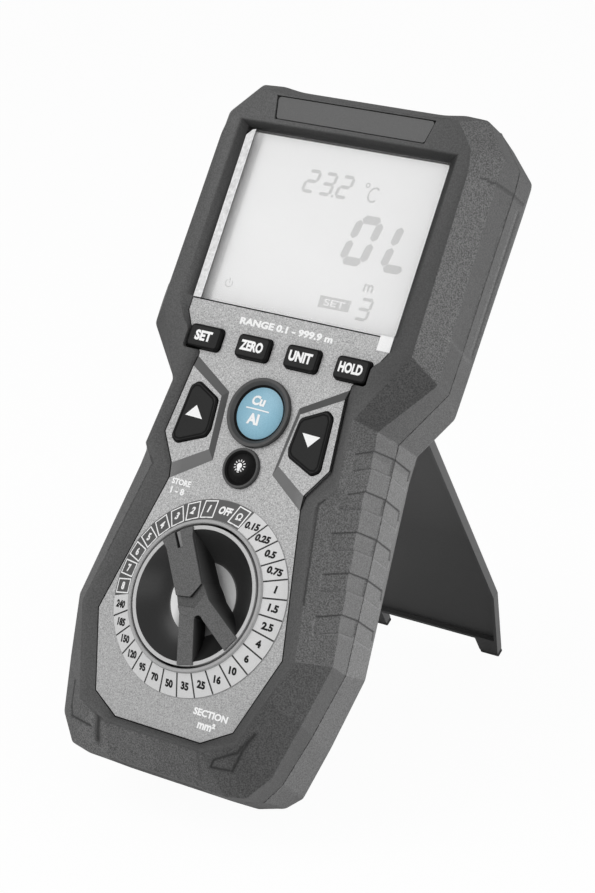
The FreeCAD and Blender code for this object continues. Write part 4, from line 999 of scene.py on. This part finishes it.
# The trim ring is open under the pointer's notch.
TRIM = [(21.25, 1.6), (22.5, 1.6), (22.5, 4.0), (21.3, 3.95)]
TRIM_START, TRIM_COUNT = 3.5, 180
trim_turns = [POINTER + TRIM_START + (360.0 - 2 * TRIM_START) * k / TRIM_COUNT for k in range(TRIM_COUNT + 1)]
trim_points, trim_faces = wall([[(*polar(radius, turn), height) for radius, height in TRIM]
                                for turn in trim_turns])
trim_faces += [(0, 1, 2, 3), tuple(4 * TRIM_COUNT + j for j in range(4))]
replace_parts(piece("knob_trim_arc", trim_points, trim_faces, "selector", "trim_grey"), "knob_trim_ring")

# -------- dial print
SCALE_OUTER, SCALE_INNER, SCALE_HEIGHT, SCALE_EDGE = 32.0, 24.6, 3.1, 0.3
STEP_ANGLE = 12.0
WIRE_SIZES = ["0.15", "0.25", "0.5", "0.75", "1", "1.5", "2.5", "4", "6", "10", "16", "25", "35", "50",
              "70", "95", "120", "150", "185", "240"]
FIRST_SIZE = 66.0  # angle of the first wire size
OFF_ANGLE = 90.0
USER_FIRST = 102.0
USER_COUNT = 8
CELL_INNER, CELL_OUTER = 24.7, 31.9
DIVIDER = 0.52  # width of the lines between the cells
BOX_INNER, BOX_OUTER, BOX_HALF, BOX_LINE = 25.2, 31.5, 2.45, 0.42  # frames round the white marks
ZONE_START, ZONE_END = 72.0, 192.0  # sector of the eight stored sizes
NUMERAL_RADIUS = 28.4


def cone(x, y):
    """Height of the dial ring's slope."""
    share = (SCALE_OUTER - math.hypot(x, y)) / (SCALE_OUTER - SCALE_INNER)
    return SCALE_EDGE + (SCALE_HEIGHT - SCALE_EDGE) * max(0.0, min(1.0, share))


def add_band(sheet, start, end):
    """The printed ring between two angles, in steps of two degrees."""
    count = round((end - start) / 2)
    turns = [start + (end - start) * k / count for k in range(count + 1)]
    points = [polar(radius, turn) for radius in (CELL_INNER, CELL_OUTER) for turn in turns]
    sheet.add(points, [(k, k + 1, count + k + 2, count + k + 1) for k in range(count)])


def add_frame(sheet, angle):
    """An upright box round a mark of the ring."""
    inner = box(BOX_INNER + BOX_LINE, BOX_OUTER - BOX_LINE, BOX_LINE - BOX_HALF, BOX_HALF - BOX_LINE)
    sheet.polygon(turned(box(BOX_INNER, BOX_OUTER, -BOX_HALF, BOX_HALF), angle), turned(inner, angle))


cells, zone = Sheet(cone, 0.03), Sheet(cone, 0.03)
dividers = Sheet(cone, 0.05)
numerals, white_marks = Sheet(cone, 0.07), Sheet(cone, 0.07)
add_band(cells, ZONE_END - 360.0, ZONE_START)
add_band(zone, ZONE_START, ZONE_END)
for k, words in enumerate(WIRE_SIZES):
    angle = FIRST_SIZE - k * STEP_ANGLE
    numerals.text(words, polar(NUMERAL_RADIUS, angle), 2.5, stretch=0.92, weight=0.055)
    if k:
        edge = angle + STEP_ANGLE / 2
        dividers.strip([polar(CELL_INNER, edge), polar(CELL_OUTER, edge)], DIVIDER)
user_angles = [USER_FIRST + k * STEP_ANGLE for k in range(USER_COUNT)]
for k, angle in enumerate(user_angles):
    white_marks.text(str(k + 1), polar(NUMERAL_RADIUS + 0.1, angle), 2.6, stretch=0.9, weight=0.05)
white_marks.text("OFF", polar(NUMERAL_RADIUS, OFF_ANGLE - 0.5), 2.8, stretch=0.78, weight=0.05)
white_marks.text("Ω", polar(NUMERAL_RADIUS, OFF_ANGLE - STEP_ANGLE), 2.5, stretch=0.95, weight=0.03)
for angle in [OFF_ANGLE - STEP_ANGLE] + user_angles:
    add_frame(white_marks, angle)
for sheet, name, paint in ((cells, "dial_cells", "cell_print"), (dividers, "dial_dividers", "divider_print"),
                           (zone, "dial_zone", "zone_print"), (numerals, "dial_numerals", "dark_print"),
                           (white_marks, "dial_white_marks", "white_print")):
    sheet.make(name, "case", "dial_print", paint)

# -------- front plate print
plate_print = Sheet(0.0)
for words, centre, height, width, weight in (
        ("RANGE 0.1 - 999.9 m", (-0.3, 89.4), 2.5, 36.0, 0.05), ("STORE", (-20.4, 33.9), 2.0, 7.4, 0.045),
        ("1 - 8", (-20.9, 30.9), 2.2, 5.4, 0.045), ("SECTION", (17.3, -34.0), 2.3, 13.0, 0.045),
        ("mm²", (17.0, -37.6), 2.8, 6.6, 0.045)):
    plate_print.text(words, centre, height, width=width, weight=weight)
plate_print.make("plate_print", "case", "plate_grey", "white_print")
PAD_RISE, PAD_INNER = 1.1, 20.0  # height of the raised pads beside the material key, and where they begin
PAD_LINES = (((13.7, 65.9), (36.0, 78.8)), ((15.4, 63.9), (36.0, 75.0)),  # upper foot and upper edge
             ((13.6, 46.3), (36.0, 33.2)), ((11.6, 43.3), (36.0, 27.7)))  # lower edge and lower foot


def pads(x, y):
    """Height of the front plate with its raised pads."""
    foot_high, edge_high, edge_low, foot_low = [np.interp(abs(x), [a[0], b[0]], [a[1], b[1]])
                                                for a, b in PAD_LINES]
    upper = (foot_high - y) / (foot_high - edge_high)
    lower = (y - foot_low) / (edge_low - foot_low)
    return PAD_RISE * float(np.clip(min(upper, lower), 0.0, 1.0)) * (abs(x) > PAD_INNER)


plate_line = Sheet(pads)
plate_edge = mirrored([m[1] for m in MOUTH if m[1][1] < 93.9])
dense = []
for start, end in zip(plate_edge, plate_edge[1:] + plate_edge[:1]):
    count = max(1, round(math.dist(start, end)))
    dense += [(start[0] + (end[0] - start[0]) * k / count, start[1] + (end[1] - start[1]) * k / count)
              for k in range(count)]
plate_line.polygon(dense, [tuple(p) for p in inset(dense, 0.3)])
plate_line.make("plate_edge_line", "case", "plate_grey", "line_black")

# -------- key prints
ROW_KEYS = (("set_key", "SET", -28.6), ("zero_key", "ZERO", -9.5), ("unit_key", "UNIT", 9.5),
            ("hold_key", "HOLD", 28.6))
ROW_Y, ROW_TOP = 81.5, 1.9
for body, words, x in ROW_KEYS:
    legend = Sheet(ROW_TOP)
    legend.text(words, (x - 0.2, ROW_Y), 3.5, width=2.2 * len(words), weight=0.05)
    legend.make(body + "_print", body, "key_black", "white_print")
UP_MARK = [(-22.8, 59.1), (-26.0, 55.2), (-19.2, 55.0)]
DOWN_MARK = [(18.8, 58.3), (25.6, 58.1), (22.3, 54.2)]
SIDE_TOP = 1.9
SIDE_OUTLINE = [(25.0, 67.0), (27.6, 65.0), (29.0, 47.5), (26.3, 45.8), (16.0, 50.0), (15.2, 52.5),
                (16.0, 62.6)]
SIDE_SHADOW_RIM = ((0.78, 0.95), (1.3, 0.8))  # painted shadow ring on each side key's top: distance inside the key's outline and cut off its corners


def cut_corners(points, length):
    """Cuts up to this length of each side off at its corners."""
    cut = []
    for before, point, after in zip(points[-1:] + points[:-1], points, points[1:] + points[:1]):
        for other in (before, after):
            cut.append(point + (other - point).normalized() * min(length, 0.4 * (other - point).length))
    return cut


for body, mark, side in (("up_key", UP_MARK, -1), ("down_key", DOWN_MARK, 1)):
    patch(body + "_print", mark, SIDE_TOP + PRINT_LIFT, "key_black", "white_print", body)
    # A dark ring round each side key's top is the painted shadow of the gap round the key.
    rim = Sheet(SIDE_TOP)
    rim.polygon(*[[(side * point.x, point.y) for point in cut_corners(inset(SIDE_OUTLINE, distance), length)]
                  for distance, length in SIDE_SHADOW_RIM])
    rim.make(body + "_rim", body, "key_black", "line_black")


def dome(y0, radius, edge, crown):
    """Height of a round key's domed top."""
    rise = crown - edge
    ball = (radius * radius + rise * rise) / (2 * rise)
    return lambda x, y: crown - ball + math.sqrt(max(0.0, ball * ball - x * x - (y - y0) ** 2))


MATERIAL_Y, LIGHT_Y = 61.4, 42.9
MATERIAL_RADIUS, MATERIAL_EDGE, MATERIAL_CROWN = 8.5, 0.0, 1.5
LIGHT_RADIUS, LIGHT_EDGE, LIGHT_CROWN = 5.0, 0.6, 2.0
symbols = Sheet(dome(MATERIAL_Y, MATERIAL_RADIUS, MATERIAL_EDGE, MATERIAL_CROWN), 0.1)
symbols.text("Cu", (-1.0, 65.1), 3.3, width=5.2, weight=0.045)
symbols.text("Al", (-1.0, 59.0), 3.6, width=4.6, weight=0.045)
symbols.strip([(-5.0 + 1.5 * k, 62.3 - 0.03 * k) for k in range(7)], 0.42)
symbols.make("material_key_print", "material_key", "key_blue", "white_print")


GAP_SHADE_SECTION = ((0.02, -0.1), (0.27, -0.1), (0.75, 0.46), (0.7, 0.52), (0.02, 0.05))  # section, from the key's edge, of a black ring that stands in as painted shade for the shadow in the gap


def gap_shade(name, centre_y, radius, height):
    """Black ring in the gap between a round key and its collar, as painted shade of the gap's shadow."""
    profile = [(radius + across, height + rise) for across, rise in GAP_SHADE_SECTION]
    spun(name, profile, "case", "collar_grey", "line_black", centre_y)


gap_shade("material_key_gap_shade", MATERIAL_Y, MATERIAL_RADIUS, MATERIAL_EDGE)
gap_shade("light_key_gap_shade", LIGHT_Y, LIGHT_RADIUS, LIGHT_EDGE)

lamp = Sheet(dome(LIGHT_Y, LIGHT_RADIUS, LIGHT_EDGE, LIGHT_CROWN), 0.07)
lamp_x, lamp_y = 0.1, LIGHT_Y + 0.5
lamp.polygon(circle(lamp_x, lamp_y, 0.95))
lamp.polygon([(lamp_x - 0.5, lamp_y - 1.7), (lamp_x + 0.5, lamp_y - 1.7), (lamp_x + 0.6, lamp_y - 0.6),
              (lamp_x - 0.6, lamp_y - 0.6)])
lamp.polygon(box(lamp_x - 0.4, lamp_x + 0.4, lamp_y - 2.2, lamp_y - 1.9))
RAY_COUNT, RAY_FIRST, RAY_STEP = 11, -55.0, 29.0
for k in range(RAY_COUNT):
    tips = [polar(radius, RAY_FIRST + k * RAY_STEP) for radius in (1.4, 2.1)]
    lamp.strip([(lamp_x + x, lamp_y + y) for x, y in tips], 0.32)
lamp.make("light_key_print", "light_key", "key_black", "white_print")

# -------- display
BACKPRINT_Z, BAND_Z, SEGMENT_Z = -3.15, -3.14, -3.12
GLASS_HALF, GLASS_LOW, GLASS_HIGH = 37.9, 94.2, 152.4
BAND_END = -34.3
patch("display_backprint", box(-GLASS_HALF, GLASS_HALF, GLASS_LOW, GLASS_HIGH), BACKPRINT_Z, "cell_glass",
      "display_back")
patch("display_band", box(-GLASS_HALF, BAND_END, GLASS_LOW, GLASS_HIGH), BAND_Z, "cell_glass", "display_band")
patch("film_tab", box(34.2, 39.1, 89.2, GLASS_LOW), 0.24, "clear_film", "tab_white")
patch("display_edge_line", box(-38.6, 38.6, 93.6, 93.9), PRINT_LIFT, "plate_grey", "line_black")
LENS_RIM = [(-39.0, 94.0), (-35.9, 94.0), (-35.9, 152.6), (-37.2, 152.2), (-39.0, 150.2)]
patch("lens_rim", LENS_RIM, 0.02, "plate_grey", "lens_edge")
display = Sheet(SEGMENT_Z, 0.0)
# Bars of a seven-bar digit: a top, b and c right, d bottom, e and f left, g middle.
DIGITS = {"0": "abcdef", "2": "abged", "3": "abgcd", "L": "fed"}


def digit(mark, x, y, width, height, thick, slant):
    """A slanted seven-bar digit with its lower left corner at x, y."""
    gap = 0.12 * thick
    mid = height / 2
    half = thick / 2

    def upright(cx, low, high):
        return [(cx - half, low + half), (cx, low + gap), (cx + half, low + half), (cx + half, high - half),
                (cx, high - gap), (cx - half, high - half)]

    def level_bar(cy, low, high):
        return [(low + half, cy - half), (high - half, cy - half), (high - gap, cy), (high - half, cy + half),
                (low + half, cy + half), (low + gap, cy)]

    left, right = half, width - half
    bars = {"a": level_bar(height - half, left, right), "g": level_bar(mid, left, right),
            "d": level_bar(half, left, right), "f": upright(left, mid, height - half),
            "b": upright(right, mid, height - half), "e": upright(left, half, mid),
            "c": upright(right, half, mid)}
    for key in DIGITS[mark]:
        display.polygon([(x + px + slant * py, y + py) for px, py in bars[key]])


for mark, x, y in (("2", -14.0, 135.4), ("3", -7.5, 135.4), ("2", -1.0, 135.4)):
    digit(mark, x, y, 5.2, 8.1, 1.15, 0.14)
display.polygon(circle(-1.5, 135.8, 0.5, 10))
display.polygon(circle(10.4, 141.4, 0.9, 16), circle(10.4, 141.4, 0.45, 16))
display.text("C", (13.2, 138.6), 5.4, stretch=0.75, slant=0.15)
digit("0", 7.8, 114.7, 10.4, 17.0, 2.8, 0.18)
digit("L", 23.2, 114.7, 10.6, 17.0, 2.8, 0.18)
display.text("m", (22.4, 108.6), 2.6, weight=0.02)
digit("3", 20.2, 97.8, 5.2, 7.7, 1.05, 0.1)
display.polygon([(6.2, 99.5), (17.8, 99.7), (18.0, 103.5), (6.0, 103.4)])
display.strip(circle(-29.3, 101.2, 1.35, 16, 130, 410), 0.35)
display.strip([(-29.3, 101.3), (-29.3, 103.0)], 0.35)
display.make("display_segments", "case", "cell_glass", "faint_print")
boxed = Sheet(SEGMENT_Z + 0.02, 0.0)
boxed.text("SET", (12.0, 101.5), 2.3, width=8.0, weight=0.02)
boxed.make("display_boxed_word", "case", "cell_glass", "display_back")

# -------- floor, light and camera
SKY_STRENGTH = 0.45
LAMP_AIM = (0.0, 50.0, 0.0)
# Lamps: place in the device's frame, side in metres and power in watts.
LAMPS = (("key", (-350.0, 500.0, 800.0), 0.6, 2.6), ("left_top", (-620.0, 60.0, 930.0), 0.5, 2.2),
         ("front", (770.0, 60.0, 920.0), 0.6, 1.2), ("right_fill", (900.0, 200.0, 100.0), 0.7, 3.5))
FOCAL_MM, SENSOR_MM = 113.5, 36.0
CAMERA_AT, CAMERA_AIM = (491.9, -45.9, 735.7), (17.32, 53.99, 0.0)
CAMERA_ROLL = -1.25  # degrees from level
FLOOR_HALF = 4.0
FLOOR_GREY, FLOOR_GLOW = 0.9, 0.96  # the floor's colour under the lamps, and how far the camera sees white


def white_floor():
    """A floor that takes shadows and looks all but white to the camera."""
    mesh = bpy.data.meshes.new("floor")
    mesh.from_pydata(at(box(-FLOOR_HALF, FLOOR_HALF, -FLOOR_HALF, FLOOR_HALF), 0.0), [], [(0, 1, 2, 3)])
    floor = bpy.data.objects.new("floor", mesh)
    bpy.context.scene.collection.objects.link(floor)
    material = bpy.data.materials.new("floor_white")
    material.use_nodes = True
    tree = material.node_tree
    shader = tree.nodes["Principled BSDF"]
    shader.inputs["Base Color"].default_value = (FLOOR_GREY, FLOOR_GREY, FLOOR_GREY, 1.0)
    shader.inputs["Roughness"].default_value = 0.9
    seen = add_node(tree, "LightPath")["Is Camera Ray"]
    share = add_node(tree, "Math", {0: seen, 1: FLOOR_GLOW}, operation="MULTIPLY")[0]
    glow = add_node(tree, "Emission", {"Strength": 1.0})[0]
    blend = add_node(tree, "MixShader", {0: share, 1: shader.outputs[0], 2: glow})[0]
    tree.links.new(blend, tree.nodes["Material Output"].inputs["Surface"])
    floor.data.materials.append(material)


def sky(strength):
    """A plain even sky that the camera sees as white, also through the lens."""
    made = bpy.data.worlds.new("studio")
    made.use_nodes = True
    tree = made.node_tree
    background = tree.nodes["Background"].inputs
    background["Color"].default_value = (1.0, 1.0, 1.0, 1.0)
    path = add_node(tree, "LightPath")
    seen = add_node(tree, "Math", {0: path["Is Camera Ray"], 1: path["Is Transmission Ray"]},
                    operation="MAXIMUM")[0]
    power = add_node(tree, "MapRange", {"Value": seen, "To Min": strength, "To Max": 1.0})["Result"]
    tree.links.new(power, background["Strength"])
    bpy.context.scene.world = made


def aimed(name, data, place, aim, roll=0.0):
    """A lamp or camera placed in the device's frame and turned to face a point."""
    here, there = [Vector(point) for point in world([place, aim])]
    pose = Matrix.LocRotScale(here, (there - here).to_track_quat("-Z", "Y"), None)
    obj = bpy.data.objects.new(name, data)
    obj.matrix_world = pose @ Matrix.Rotation(math.radians(roll), 4, "Z")
    bpy.context.scene.collection.objects.link(obj)
    return obj


white_floor()
sky(SKY_STRENGTH)
for name, place, size, watts in LAMPS:
    lamp_data = bpy.data.lights.new(name, "AREA")
    lamp_data.shape = "SQUARE"
    lamp_data.size = size
    lamp_data.energy = watts
    aimed(name, lamp_data, place, LAMP_AIM)
camera_data = bpy.data.cameras.new("photo_view")
camera_data.sensor_width = SENSOR_MM
camera_data.lens = FOCAL_MM
camera_data.clip_start = 0.01
camera_data.clip_end = 50.0
bpy.context.scene.camera = aimed("photo_view", camera_data, CAMERA_AT, CAMERA_AIM, CAMERA_ROLL)
bpy.context.scene.view_settings.view_transform = "Standard"
